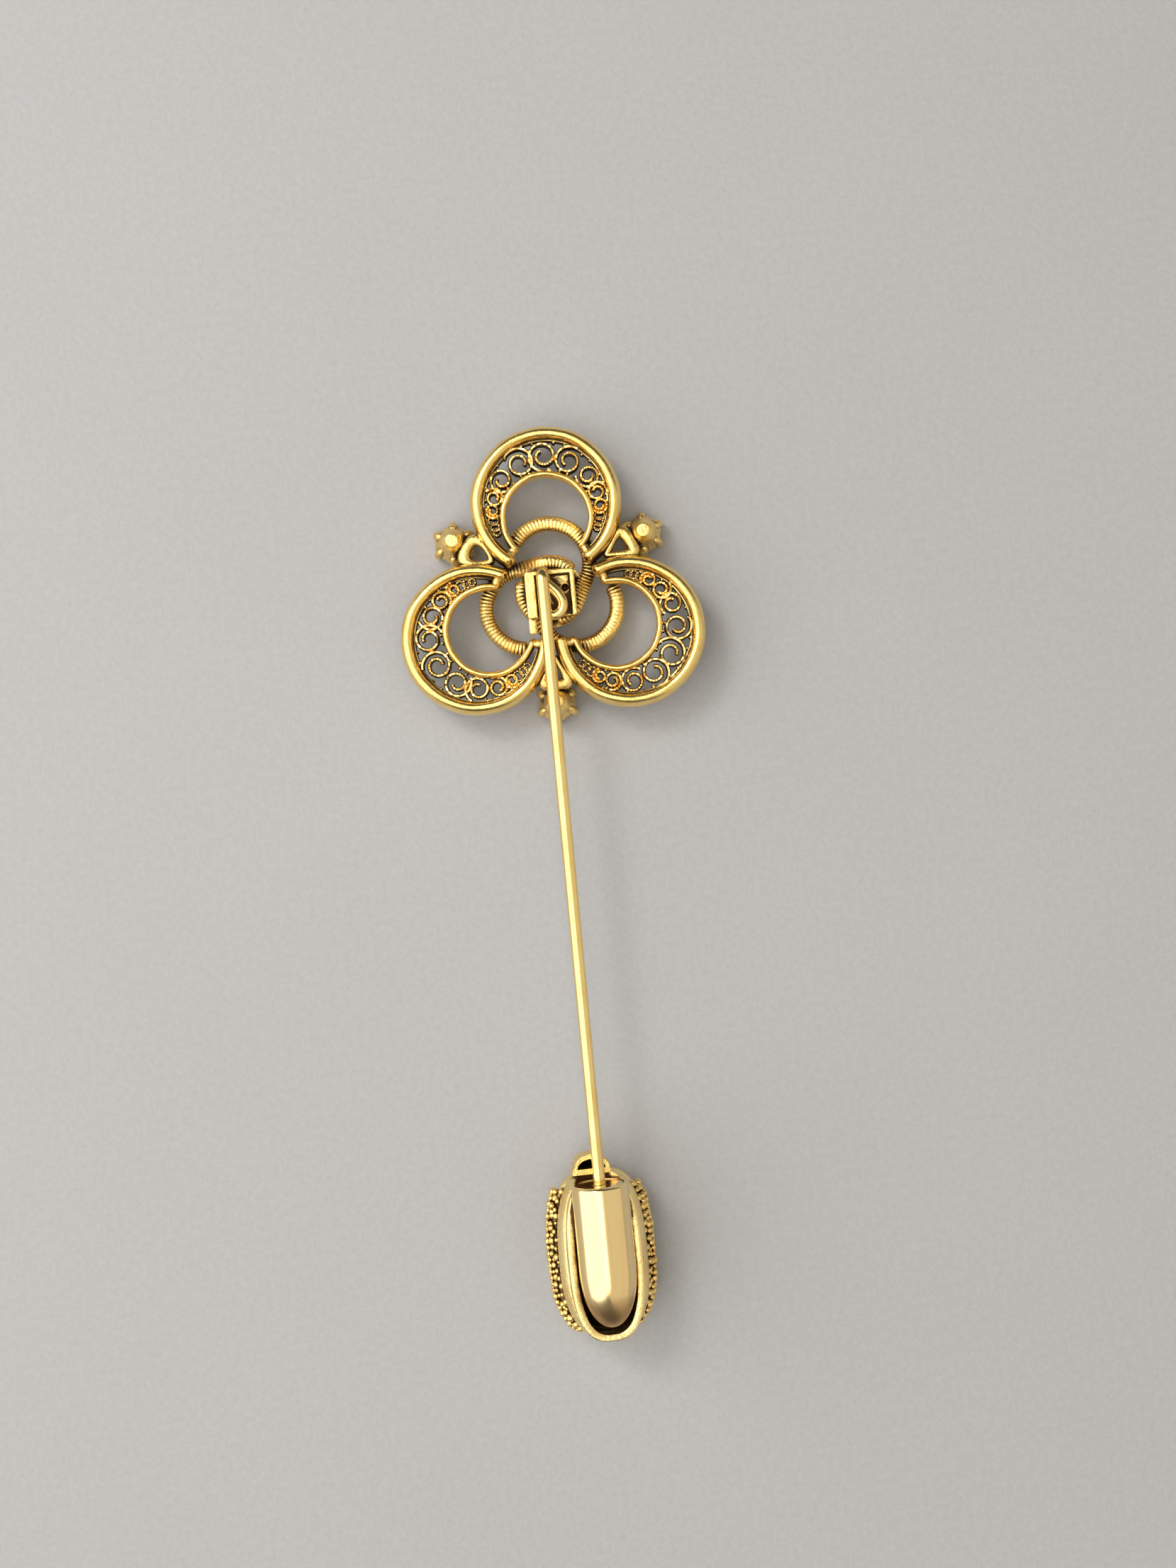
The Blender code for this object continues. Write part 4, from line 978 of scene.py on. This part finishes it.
def make_boss(metal, tree):
    """Front of the knot: a domed rosette with a beaded edge, and its core up to the plate."""
    dome_back = rim_low.z - ARM_THICKNESS - 2 * SOLDER_GAP
    front = boss_low.z
    height = dome_back - front
    core = HUB_RING_RADIUS - ARM_WIDTH / 2 - SOLDER_GAP
    edge = BOSS_RADIUS - 0.42 * MM
    soft = 0.03 * MM
    profile = [(0.02 * BOSS_RADIUS, front)]
    profile += [(edge * math.sin(a), dome_back - 0.30 * height - 0.70 * height * math.cos(a))
                for a in np.linspace(0.12, math.pi / 2, 22)]
    profile += [(edge, dome_back - 0.24 * height), (BOSS_RADIUS, dome_back - 0.22 * height),
                (BOSS_RADIUS, dome_back - soft), (BOSS_RADIUS - soft, dome_back),
                (core, dome_back), (core, boss_high.z)]

    def petals(level, turns):
        depth = 0.055 if 4 < level < 20 else 0.0
        return 1 - depth * (1 - np.abs(np.sin(6 * turns)) ** 0.6)

    dome = lathe("knot_boss", profile, 144, "Z", swell=petals)
    place_on_head(dome, HEAD_TURN, metal, "hub_boss")
    ring = arc_line(0.0, edge + 0.20 * MM, 0.0, TURN * (1 - 1 / 200), 199)
    beads = grown("knot_boss_beads", line_mesh("boss_ring", ring, closed=True), tree,
                  Pitch=0.44 * MM, Bead=0.20 * MM, Uneven=0.06, Stray=0.0, Seed=1)
    moved(beads, offset=(0.0, 0.0, dome_back - 0.38 * height))
    place_on_head(beads, HEAD_TURN, metal)


# ---------------------------------------------------------------------------
# Settings, stones and brackets
# ---------------------------------------------------------------------------

def setting_cone(number, body, inside):
    """Blunt back, fluted cone up to the girdle, and the hollow that the stone sits in."""

    def flutes(level, turns):
        if level >= len(body):
            return np.ones(len(turns))
        uneven = 0.025 * np.sin(2 * turns + number) + 0.018 * np.sin(5 * turns + 2.3 * number)
        return 1 - FLUTE_DEPTH * min(1.0, level / 30) * np.sin(CLAWS / 2 * turns) ** 2 + uneven

    return lathe("crown", [*body, *inside], 96, "Z", swell=flutes)


def claw(route, turn, plumpness):
    """Round wire along a (radius, height) route at one turn round the stone, thinner at its end."""
    radius, height = smooth_line(route, 7).T
    line = np.stack([radius * math.cos(turn), radius * math.sin(turn), height], axis=1)
    share = np.linspace(0, 1, len(line))
    radii = CLAW_RADIUS * rounded_ends(share, 0.14) * plumpness * (1.0 - 0.22 * smooth_step(share, 0.55, 1.0))
    return skin("claw", round_rings(line, radii, 14))


def make_settings(metal, stone):
    """Cast crowns: a blunt back, a fluted cone that widens to the seat, and six round claws over the stone."""
    base, back = (corner.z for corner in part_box("crown_setting_1"))
    girdle = base + CLAW_LENGTH
    seat = STONE_DIAMETER / 2 + 2 * SOLDER_GAP
    outside = seat + CLAW_WALL
    blunt, waist = SETTING_BACK_RADIUS, SETTING_WAIST_RADIUS
    body = smooth_line([
        (0.30 * blunt, back), (0.86 * blunt, back - 0.02 * MM), (1.05 * blunt, back - 0.16 * MM),
        (0.84 * waist, back - 0.62 * MM), (1.02 * waist, back - 1.25 * MM), (waist, back - 1.60 * MM),
        (1.16 * waist, back - 2.2 * MM), (0.90 * outside, back - 2.9 * MM), (0.94 * outside, girdle),
    ], 5)
    inside = [
        (seat, girdle), (0.62 * seat, girdle + 0.55 * STONE_PAVILION), (0.12 * seat, girdle + STONE_PAVILION),
    ]
    reach = outside - 0.22 * MM
    route = [
        (0.95 * waist, back - 1.9 * MM), (0.94 * reach, girdle + 0.75 * MM),
        (reach + 0.03 * MM, girdle + 0.10 * MM), (reach, girdle - 0.50 * MM),
        (reach - 0.10 * MM, base + 0.24 * MM), (reach - 0.20 * MM, base + 0.08 * MM),
    ]
    for number, lobe in enumerate(LOBE_ANGLES, start=1):
        claws = [claw(route, TURN * k / CLAWS, 1.0 + 0.10 * math.sin(3.1 * k + number)) for k in range(CLAWS)]
        crown = joined(f"claw_setting_{number}", [setting_cone(number, body, inside), *claws])
        gem = faceted_stone(f"cut_stone_{number}", girdle - SOLDER_GAP)
        lift = max(0.0, base - min(v.co.z for v in crown.data.vertices))
        moved(crown, offset=(SETTING_REACH, 0.0, lift))
        moved(gem, offset=(SETTING_REACH, 0.0, 0.0))
        place_on_head(crown, lobe - LOBE_SPLAY, metal, f"crown_setting_{number}")
        place_on_head(gem, lobe - LOBE_SPLAY, stone, f"stone_{number}")


def faceted_stone(name, girdle):
    """Round cut with a flat table, kite facets down to the girdle and a pointed back."""
    r = STONE_DIAMETER / 2
    crown = STONE_CROWN
    levels = [
        (0.56 * r, girdle - crown, 0.0), (0.78 * r, girdle - 0.62 * crown, 0.5),
        (r, girdle - 0.11 * crown, 0.0), (r, girdle, 0.0),
        (0.56 * r, girdle + 0.55 * STONE_PAVILION, 0.5), (0.05 * r, girdle + STONE_PAVILION, 0.0),
    ]
    sides = 8
    rings = []
    for radius, z, shift in levels:
        a = (np.arange(sides) + shift) * TURN / sides
        rings.append(np.stack([radius * np.cos(a), radius * np.sin(a), np.full(sides, z)], axis=1))
    bm = bmesh.new()
    rows = [[bm.verts.new(p) for p in ring] for ring in rings]
    bm.faces.new(rows[0])
    bm.faces.new(rows[-1])
    for (low, high), (shift_low, shift_high) in zip(zip(rows, rows[1:]), zip(levels, levels[1:])):
        ahead = shift_high[2] - shift_low[2]
        for k in range(sides):
            n = (k + 1) % sides
            if ahead > 0:
                bm.faces.new((low[k], low[n], high[k]))
                bm.faces.new((low[n], high[n], high[k]))
            elif ahead < 0:
                bm.faces.new((low[k], high[n], high[k]))
                bm.faces.new((low[k], low[n], high[n]))
            else:
                bm.faces.new((low[k], low[n], high[n], high[k]))
    mesh = bpy.data.meshes.new(name)
    bm.to_mesh(mesh)
    bm.free()
    return finished(name, mesh, CUT_EDGE)


def half_gap(distance):
    """Half the gap between two lobes, at a distance from the head's middle."""
    return LOBE_ACROSS - math.sqrt(LOBE_RADIUS ** 2 - (distance - LOBE_REACH / 2) ** 2)


def distance_for_gap(wanted):
    """Distance from the head's middle at which half the gap is as wide as wanted."""
    return LOBE_REACH / 2 + math.sqrt(LOBE_RADIUS ** 2 - (LOBE_ACROSS - wanted) ** 2)


def eyelet_outline(near, far, rounding):
    """Closed outline that follows the lobes on both sides, its corners cut and then evened out."""
    inset = BRACKET_WIDTH / 2
    side = [(x, half_gap(x) - SOLDER_GAP - inset) for x in np.linspace(near + 0.45 * MM, far, 3)]
    points = [(near, 0.0)] + side + [(far + 0.06 * MM, 0.0)] + [(x, -y) for x, y in reversed(side)]
    for _ in range(3):
        p = np.array(points)
        n = np.roll(p, -1, axis=0)
        points = np.stack([0.75 * p + 0.25 * n, 0.25 * p + 0.75 * n], axis=1).reshape(-1, 2)
    middle = points.mean(axis=0)
    reach = np.abs(points - middle).max(axis=0)
    for _ in range(rounding):
        points = (np.roll(points, 1, axis=0) + 2 * points + np.roll(points, -1, axis=0)) / 4
    return middle + (points - middle) * 0.98 * reach / np.abs(points - middle).max(axis=0)


def make_brackets(metal):
    """Eyelets that fill the notches between the lobes up to the settings, the second the roundest."""
    far = SETTING_REACH - SETTING_WAIST_RADIUS - 2 * SOLDER_GAP - BRACKET_WIDTH / 2
    near = distance_for_gap(BRACKET_WIDTH * 0.62)
    front, back = (corner.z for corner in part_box("bracket_1"))
    turns = np.linspace(0, TURN, 22, endpoint=False)
    across = 0.62 * BRACKET_WIDTH * squarer(np.cos(turns), 0.9)
    height = front + (back - front) / 2 * (1 + squarer(np.sin(turns), 0.8))
    for number, (lobe, rounding) in enumerate(zip(LOBE_ANGLES, EYELET_ROUNDING), start=1):
        flat = eyelet_outline(near, far, rounding)
        line = np.column_stack([flat, np.zeros(len(flat))])
        right = rightwards(np.roll(line, -1, axis=0) - np.roll(line, 1, axis=0))
        outwards = smooth_step(line[:, 0], 0.5 * (near + far), far)
        thick = 1.0 + 0.75 * outwards + 0.10 * np.sin(np.linspace(0, 3 * TURN, len(line)) + number)
        rings = [p + r * across[:, None] * k + UP * height[:, None] for p, r, k in zip(line, right, thick)]
        piece = skin(f"cast_eyelet_{number}", rings, closed=True)
        place_on_head(piece, lobe - LOBE_SPLAY, metal, f"bracket_{number}")


# ---------------------------------------------------------------------------
# Stem
# ---------------------------------------------------------------------------

def make_stem(metal):
    """Drawn wire: a ground point, a straight run, a bend and a teardrop foot hammered flat on the plate."""
    radius = STEM_DIAMETER / 2
    foot = radius * FOOT_WIRE
    x, z = CLUTCH_AXIS.x, CLUTCH_AXIS.z
    start_y = stem_low.y + STEM_POINT
    bend_y = stem_high.y - radius - BEND_RADIUS
    share = np.linspace(0.0, 1.0, 24)
    line = [(x, stem_low.y + STEM_POINT * k, z) for k in share]
    radii = list(radius * (0.06 + 0.94 * np.sin(share * math.pi / 2)))
    for k in np.linspace(0, 1, 120)[1:]:
        line.append((x, start_y + (bend_y - start_y) * k, z))
        radii.append(radius)
    for k in np.linspace(0, 1, 40)[1:]:
        turned = BEND_RADIUS * (1 - math.cos(math.pi * k))
        drift = FOOT_DRIFT * turned / (2 * BEND_RADIUS)
        line.append((x + drift, bend_y + BEND_RADIUS * math.sin(math.pi * k), z - turned))
        radii.append(radius + (foot - radius) * k)
    start = line[-1]
    route = [start] + [(start[0] + dx * MM, start[1] + dy * MM, start[2]) for dx, dy in FOOT_LOOP]
    loop = smooth_line(route, 18)[1:]
    ends = np.minimum(1.0, np.linspace(len(loop) / 7, 0.0, len(loop)))
    radii += list(foot * quarter_round(ends))
    line = np.array(line + [tuple(p) for p in loop])
    finish_piece(skin("drawn_stem", round_rings(line, radii, 32)), "head", metal, "pin_stem")


# ---------------------------------------------------------------------------
# Clutch and its ornament
# ---------------------------------------------------------------------------

def nose_radius(share):
    return CLUTCH_RADIUS * math.sqrt(max(0.0, 1 - share ** 2.3))


def barrel_profile():
    """Bullet barrel, open at the mouth: up the inside, round the edge of the mouth, and down the outside."""
    bore = CLUTCH_RADIUS - CLUTCH_WALL
    edge = CLUTCH_EDGE
    shoulder = CLUTCH_LENGTH - CLUTCH_NOSE
    soft = 0.02 * MM
    shares = np.sin(np.linspace(0, math.pi / 2, 40)) * 0.9985
    inner = [(nose_radius(k) * bore / CLUTCH_RADIUS, -shoulder - (CLUTCH_NOSE - CLUTCH_WALL) * k)
             for k in reversed(shares)]
    mouth = [(bore, -soft), (bore + soft, 0.0)]
    mouth += [(CLUTCH_RADIUS - edge + edge * math.sin(a), -edge + edge * math.cos(a))
              for a in np.linspace(0, math.pi / 2, 10)]
    body = [(CLUTCH_RADIUS, -y) for y in np.linspace(edge, shoulder, 20)[1:-1]]
    outer = [(nose_radius(k), -shoulder - CLUTCH_NOSE * k) for k in shares]
    return inner + mouth + body + outer


def washer_profile():
    """Disc in the mouth, dished a little, with a rounded hole for the stem."""
    outside = CLUTCH_RADIUS - CLUTCH_WALL - SOLDER_GAP
    bore = STEM_DIAMETER / 2 + 2 * RUNNING_FIT
    top = -WASHER_RECESS
    bottom = top - WASHER_THICKNESS
    soft = 0.03 * MM
    hole = [(bore + 0.22 * MM * (1 - math.sin(a)), top - 0.18 * MM * (1 - math.cos(a)))
            for a in np.linspace(0, math.pi / 2, 8)]
    return [
        (outside - soft, top), (outside - 0.5 * MM, top - 0.015 * MM), *hole,
        (bore, bottom), (outside, bottom), (outside, top - soft),
    ]


def make_barrel(metal):
    place_on_clutch(lathe("bullet_barrel", barrel_profile(), 128), metal, "clutch_shell")
    place_on_clutch(lathe("mouth_disc", washer_profile(), closed=True), metal, "clutch_mouth_washer")


def outline(turns, half_width, half_length, centre_y):
    """Points of a rounded, squarish oval."""
    power = 2 / ORNAMENT_SHAPE
    return half_width * squarer(np.cos(turns), power), centre_y + half_length * squarer(np.sin(turns), power)


def ornament_sizes():
    """Middle, half length and half width of the hollow that the clutch lies in."""
    far = -(CLUTCH_LENGTH + ORNAMENT_NOSE_GAP)
    near = ORNAMENT_TOP - ORNAMENT_WALL
    return (near + far) / 2, (near - far) / 2, CLUTCH_RADIUS + 2 * SOLDER_GAP


def carve(obj, cutter):
    """Cuts one mesh out of another and keeps a plain mesh."""
    cut = obj.modifiers.new("cut", "BOOLEAN")
    cut.operation = "DIFFERENCE"
    cut.solver = "EXACT"
    cut.object = cutter
    graph = bpy.context.evaluated_depsgraph_get()
    mesh = bpy.data.meshes.new_from_object(obj.evaluated_get(graph))
    obj.modifiers.remove(cut)
    obj.data = shaded(mesh, CAST_EDGE)
    bpy.data.objects.remove(cutter)


def cup_levels(length, width):
    """Levels of (half width, half length, height, gadroon), up the outside and down the inside."""
    wall, flare = ORNAMENT_WALL, ORNAMENT_FLARE
    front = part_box("ornament_shell")[0].z - CLUTCH_AXIS.z
    rim_z, girth_z = -ORNAMENT_RIM_DROP, -ORNAMENT_GIRTH_DROP
    deep = girth_z - front
    tip = 0.05 * MM
    out, along = width + wall, length + wall
    dome = smooth_line([
        (0.04, 0.04, front), (0.30, 0.36, front + 0.03 * deep), (0.62, 0.68, front + 0.16 * deep),
        (0.86, 0.88, front + 0.42 * deep), (0.97, 0.975, front + 0.72 * deep), (1.0, 1.0, girth_z),
    ], 6)[1:]
    flank = smooth_line([
        (flare, 0.0, girth_z), (0.90 * flare, -0.03 * MM, girth_z + 0.45 * MM),
        (0.58 * flare, -0.20 * MM, girth_z + 0.90 * MM), (0.55 * flare, -0.16 * MM, girth_z + 1.15 * MM),
        (0.66 * flare, 0.0, girth_z + 1.55 * MM), (0.52 * flare, 0.02 * MM, girth_z + 2.10 * MM),
        (0.26 * flare, -0.06 * MM, girth_z + 2.60 * MM), (0.06 * flare, -0.14 * MM, girth_z + 2.85 * MM),
        (0.04 * flare, -0.06 * MM, girth_z + 3.05 * MM), (0.06 * flare, 0.0, girth_z + 3.30 * MM),
        (0.03 * flare, 0.0, rim_z - 0.06 * MM),
    ], 5)[1:]
    mouth_and_inside = [
        (out - 0.05 * MM, along - 0.05 * MM, rim_z - 0.01 * MM), (out - 0.10 * MM, along - 0.10 * MM, rim_z),
        (width + 0.06 * MM, length + 0.06 * MM, rim_z), (width, length, rim_z - 0.05 * MM),
        (width + 0.30 * flare, length, rim_z - 0.8 * MM), (width + 0.72 * flare, length, 0.62 * girth_z),
        (width + 0.95 * flare, length, girth_z),
        (0.76 * (width + flare), 0.80 * length, front + 0.38 * deep + 0.6 * wall),
        (0.34 * (width + flare), 0.42 * length, front + wall), (tip, tip, front + wall),
    ]
    levels = [(tip, tip, front, 0.0)]
    levels += [(x * (out + flare), y * along, z, 1.0 - abs(x - 0.6) / 0.6) for x, y, z in dome]
    levels += [(out + dx, along + dy, z, 0.0) for dx, dy, z in flank]
    levels += [(*level, 0.0) for level in mouth_and_inside]
    return levels


def make_ornament(metal):
    """Cast cup round the clutch: a flat rim, a rounded rib between two grooves, and a gadrooned front."""
    centre, length, width = ornament_sizes()
    sides = 168
    turns = (np.arange(sides) + 0.5) * TURN / sides
    gadroons = 1 - np.abs(np.cos(9 * turns)) ** 0.7
    middle = np.array([0.0, centre])
    rings = []
    for half_width, half_length, z, gadroon in cup_levels(length, width):
        swell = 1 - 0.05 * max(0.0, gadroon) * gadroons
        if half_width > width + ORNAMENT_WALL + 0.1 * MM:
            swell = swell * (1 + 0.006 * np.sin(5 * turns + z / MM))
        flat = np.stack(outline(turns, half_width, half_length, centre), axis=1)
        rings.append(np.column_stack([middle + (flat - middle) * swell[:, None], np.full(sides, z)]))
    shell = skin("cast_ornament", rings, sharp=CAST_EDGE)
    bed = CLUTCH_RADIUS + SOLDER_GAP
    carve(shell, lathe("bed", [(bed, -0.55 * CLUTCH_LENGTH), (bed, 6 * MM)], 128))
    place_on_clutch(shell, metal, "ornament_shell")


def make_beading(metal, tree):
    """Granules on a wire along each flank, in rows of (out, up, pitch, bead radius, spread of sizes)."""
    centre, length, width = ornament_sizes()
    off = ORNAMENT_WALL + SOLDER_GAP + BEADING_WIRE / 2
    start = math.radians(48)
    turns = start - 2 * start * np.linspace(0, 1, 241) - math.radians(8)
    x, y = outline(turns, width + ORNAMENT_FLARE + off, length + off, centre)
    flank_rows = [
        (-0.05, 0.02, 0.52, 0.3036, 0.22), (-0.29, 0.42, 0.50, 0.2852, 0.34),
        (-0.59, 0.80, 0.66, 0.2668, 0.40), (-0.13, -0.42, 0.58, 0.2576, 0.30),
    ]
    for side, label, seed in ((-1, "left", 4), (1, "right", 9)):
        line = np.stack([side * x, y, np.full(len(x), -ORNAMENT_GIRTH_DROP)], axis=1)
        even, at = evenly(line, 0.09 * MM)
        radii = np.full(len(even), BEADING_WIRE * 0.30) * rounded_ends(at, 0.3 * MM)
        place_on_clutch(skin(f"granule_wire_{label}", round_rings(even, radii, 12)), metal)
        rows = []
        for row, (out, up, pitch, bead, uneven) in enumerate(flank_rows):
            shifted = line + np.array([side * out, 0.0, up]) * MM
            stray = 0.135 if row else 0.015
            rows.append(grown("granules", line_mesh("row", shifted), tree, Pitch=pitch * MM, Bead=bead * MM,
                              Uneven=uneven, Stray=stray * MM, Seed=seed + row))
        place_on_clutch(joined(f"granulation_{label}", rows), metal, f"ornament_beading_{label}")


def make_finial(metal):
    """Small hollow shell at the ornament's head, open towards the back, with a rolled edge."""
    front, back = -0.74 * CLUTCH_AXIS.z, -STEM_DIAMETER
    start = ORNAMENT_TOP + SOLDER_GAP
    outside = smooth_line([
        (0.30, 0.30, 0.0), (0.62, 0.66, 0.08), (0.86, 0.85, 0.30), (1.0, 1.0, 0.70), (0.985, 0.99, 0.90),
        (0.95, 0.96, 1.0),
    ], 5)
    inside = smooth_line([(0.94, 0.95, 1.0), (0.93, 0.94, 0.92), (0.88, 0.88, 0.62), (0.50, 0.48, 0.30)], 5)
    turns = np.linspace(0, math.pi, 49)
    scallops = 1 - 0.06 * (1 - np.abs(np.sin(3.5 * turns)) ** 0.7)
    rings = []
    for run, inset, edge in ((outside, 0.0, scallops), (inside, FINIAL_WALL, np.ones(len(turns)))):
        for across, along, up in run:
            x = FINIAL_SHIFT_X + (FINIAL_WIDTH / 2 - inset) * across * np.cos(turns) * edge
            y = start + inset + (FINIAL_LENGTH - 2 * inset) * along * np.sin(turns) * edge
            rings.append(np.column_stack([x, y, np.full(len(turns), front + up * (back - front))]))
    place_on_clutch(skin("shell_finial", rings), metal, "ornament_finial")


# ---------------------------------------------------------------------------
# Stage
# ---------------------------------------------------------------------------

def soft_box(name, place, aim, width, height, radiance, colour):
    """A flat lamp that looks equally bright at any distance."""
    light = bpy.data.lights.new(name, "AREA")
    light.shape = "RECTANGLE"
    light.size = width
    light.size_y = height
    light.energy = radiance * math.pi * width * height
    light.color = colour
    obj = in_scene(name, light)
    obj.location = place
    obj.rotation_euler = (Vector(aim) - Vector(place)).to_track_quat("-Z", "Y").to_euler()


def make_stage():
    """Pale floor between a bright window on the left and a weaker one on the right."""
    bpy.ops.mesh.primitive_plane_add(size=6.0, location=(0, 0, 0))
    floor = bpy.context.object
    floor.name = "floor"
    floor.data.materials.append(floor_finish())
    middle = (0, 0, 0.005)
    soft_box("left_window", (-0.235, 0.0, 0.235), middle, 0.58, 0.84, 1.75, (1.0, 0.98, 0.94))
    soft_box("right_window", (0.24, -0.10, 0.235), middle, 0.61, 0.90, 0.62, (1.0, 0.90, 0.72))
    soft_box("lamp", (-0.15, 0.17, 0.30), middle, 0.10, 0.10, 12.0, (1.0, 0.96, 0.90))
    world = bpy.data.worlds.new("studio")
    world.use_nodes = True
    background = world.node_tree.nodes["Background"]
    background.inputs["Color"].default_value = (0.60, 0.62, 0.66, 1.0)
    background.inputs["Strength"].default_value = 0.16
    bpy.context.scene.world = world
    bpy.context.scene.view_settings.view_transform = "Standard"


def make_camera():
    """Looks straight down on the back of the pin, turned a little."""
    roll = math.radians(5.4)
    distance = 165 * MM
    seen_height = 129.4 * MM
    camera = bpy.data.cameras.new("camera")
    camera.sensor_fit = "VERTICAL"
    camera.sensor_height = 24.0
    camera.lens = camera.sensor_height * distance / seen_height
    camera.clip_start = 0.005
    camera.clip_end = 20.0
    obj = in_scene("camera", camera)
    obj.location = HEAD_CENTRE + Vector((1.6 * MM, -16.5 * MM, CLUTCH_AXIS.z + distance))
    obj.rotation_euler = (0.0, 0.0, -roll)
    bpy.context.scene.camera = obj


# ---------------------------------------------------------------------------
# Patina
# --------------------------------------------------------------------------- Patina and painted shade

def read(items, key, kind, size):
    """Rows of numbers from a mesh's list of points, normals or edges."""
    values = np.empty(len(items) * size, kind)
    items.foreach_get(key, values)
    return values.reshape(-1, size)


def hollowness(mesh):
    """How concave the surface is at each point: over 0 in a groove and under 0 on a ridge."""
    count = len(mesh.vertices)
    places = read(mesh.vertices, "co", np.float32, 3).astype(float)
    normals = read(mesh.vertex_normals, "vector", np.float32, 3)
    a, b = read(mesh.edges, "vertices", np.int32, 2).T
    along = places[b] - places[a]
    along /= np.maximum(np.linalg.norm(along, axis=1), 1e-9)[:, None]
    total = np.bincount(a, (normals[a] * along).sum(axis=1), count)
    total -= np.bincount(b, (normals[b] * along).sum(axis=1), count)
    shares = np.bincount(a, minlength=count) + np.bincount(b, minlength=count)
    return (total / np.maximum(shares, 1)).astype(np.float32)


def ray_pattern(rays):
    """Directions spread evenly over the half turn of sky above +Z."""
    golden = math.pi * (3 - math.sqrt(5))
    pattern = []
    for i in range(rays):
        up = math.sqrt(1 - (i + 0.5) / rays)
        flat = math.sqrt(1 - up * up)
        pattern.append((flat * math.cos(i * golden), flat * math.sin(i * golden), up))
    return pattern


def settle_patina_and_shade(pieces):
    """Measures how shut in each point is by the pieces of one body: the finishes put patina and painted shade
    where it is high.
    """
    reach = 1.6 * MM
    clear = 0.015 * MM
    corners, faces = [], []
    for obj in pieces:
        start = len(corners)
        corners += [v.co.copy() for v in obj.data.vertices]
        faces += [tuple(start + i for i in p.vertices) for p in obj.data.polygons]
    tree = BVHTree.FromPolygons(corners, faces)
    pattern = ray_pattern(9)
    for obj in pieces:
        values = np.zeros(len(obj.data.vertices), np.float32)
        for vert in obj.data.vertices:
            normal = vert.normal
            side = normal.orthogonal().normalized()
            other = normal.cross(side)
            shut = 0.0
            for x, y, z in pattern:
                hit = tree.ray_cast(vert.co + normal * clear, side * x + other * y + normal * z, reach)
                if hit[0] is not None:
                    shut += 1.0 - 0.6 * hit[3] / reach
            values[vert.index] = shut / len(pattern)
        values += np.clip(hollowness(obj.data) * 2.4, -0.25, 0.6)
        obj.data.attributes.new("recess", "FLOAT", "POINT").data.foreach_set("value", values)


# ---------------------------------------------------------------------------
# Making it all
# ---------------------------------------------------------------------------

def main():
    make_camera()
    make_stage()
    gold, cast, drawn, stone = bright_gold(), cast_gold(), clutch_gold(), dark_stone()
    beads = granule_tree(cast)
    make_rims(gold)
    make_arms(cast)
    make_filigree(filigree_gold())
    make_tips(cast)
    make_plate(cast)
    make_stalk(cast)
    make_boss(cast, beads)
    make_settings(cast, stone)
    make_brackets(cast)
    make_stem(stem_gold())
    make_barrel(drawn)
    make_ornament(ornament_gold())
    make_beading(cast, beads)
    make_finial(cast)
    finishes = {"bright_gold": gold, "antique_gold": cast, "pale_gold": drawn, "dark_stone": stone}
    for node, obj in frame["nodes"].items():
        obj.data.materials.clear()
        obj.data.materials.append(finishes[NODE_SLOTS[node]])
    for body in ("head", "clutch"):
        settle_patina_and_shade([obj for obj in bpy.context.scene.objects if obj.get("rides_on") == body])


main()
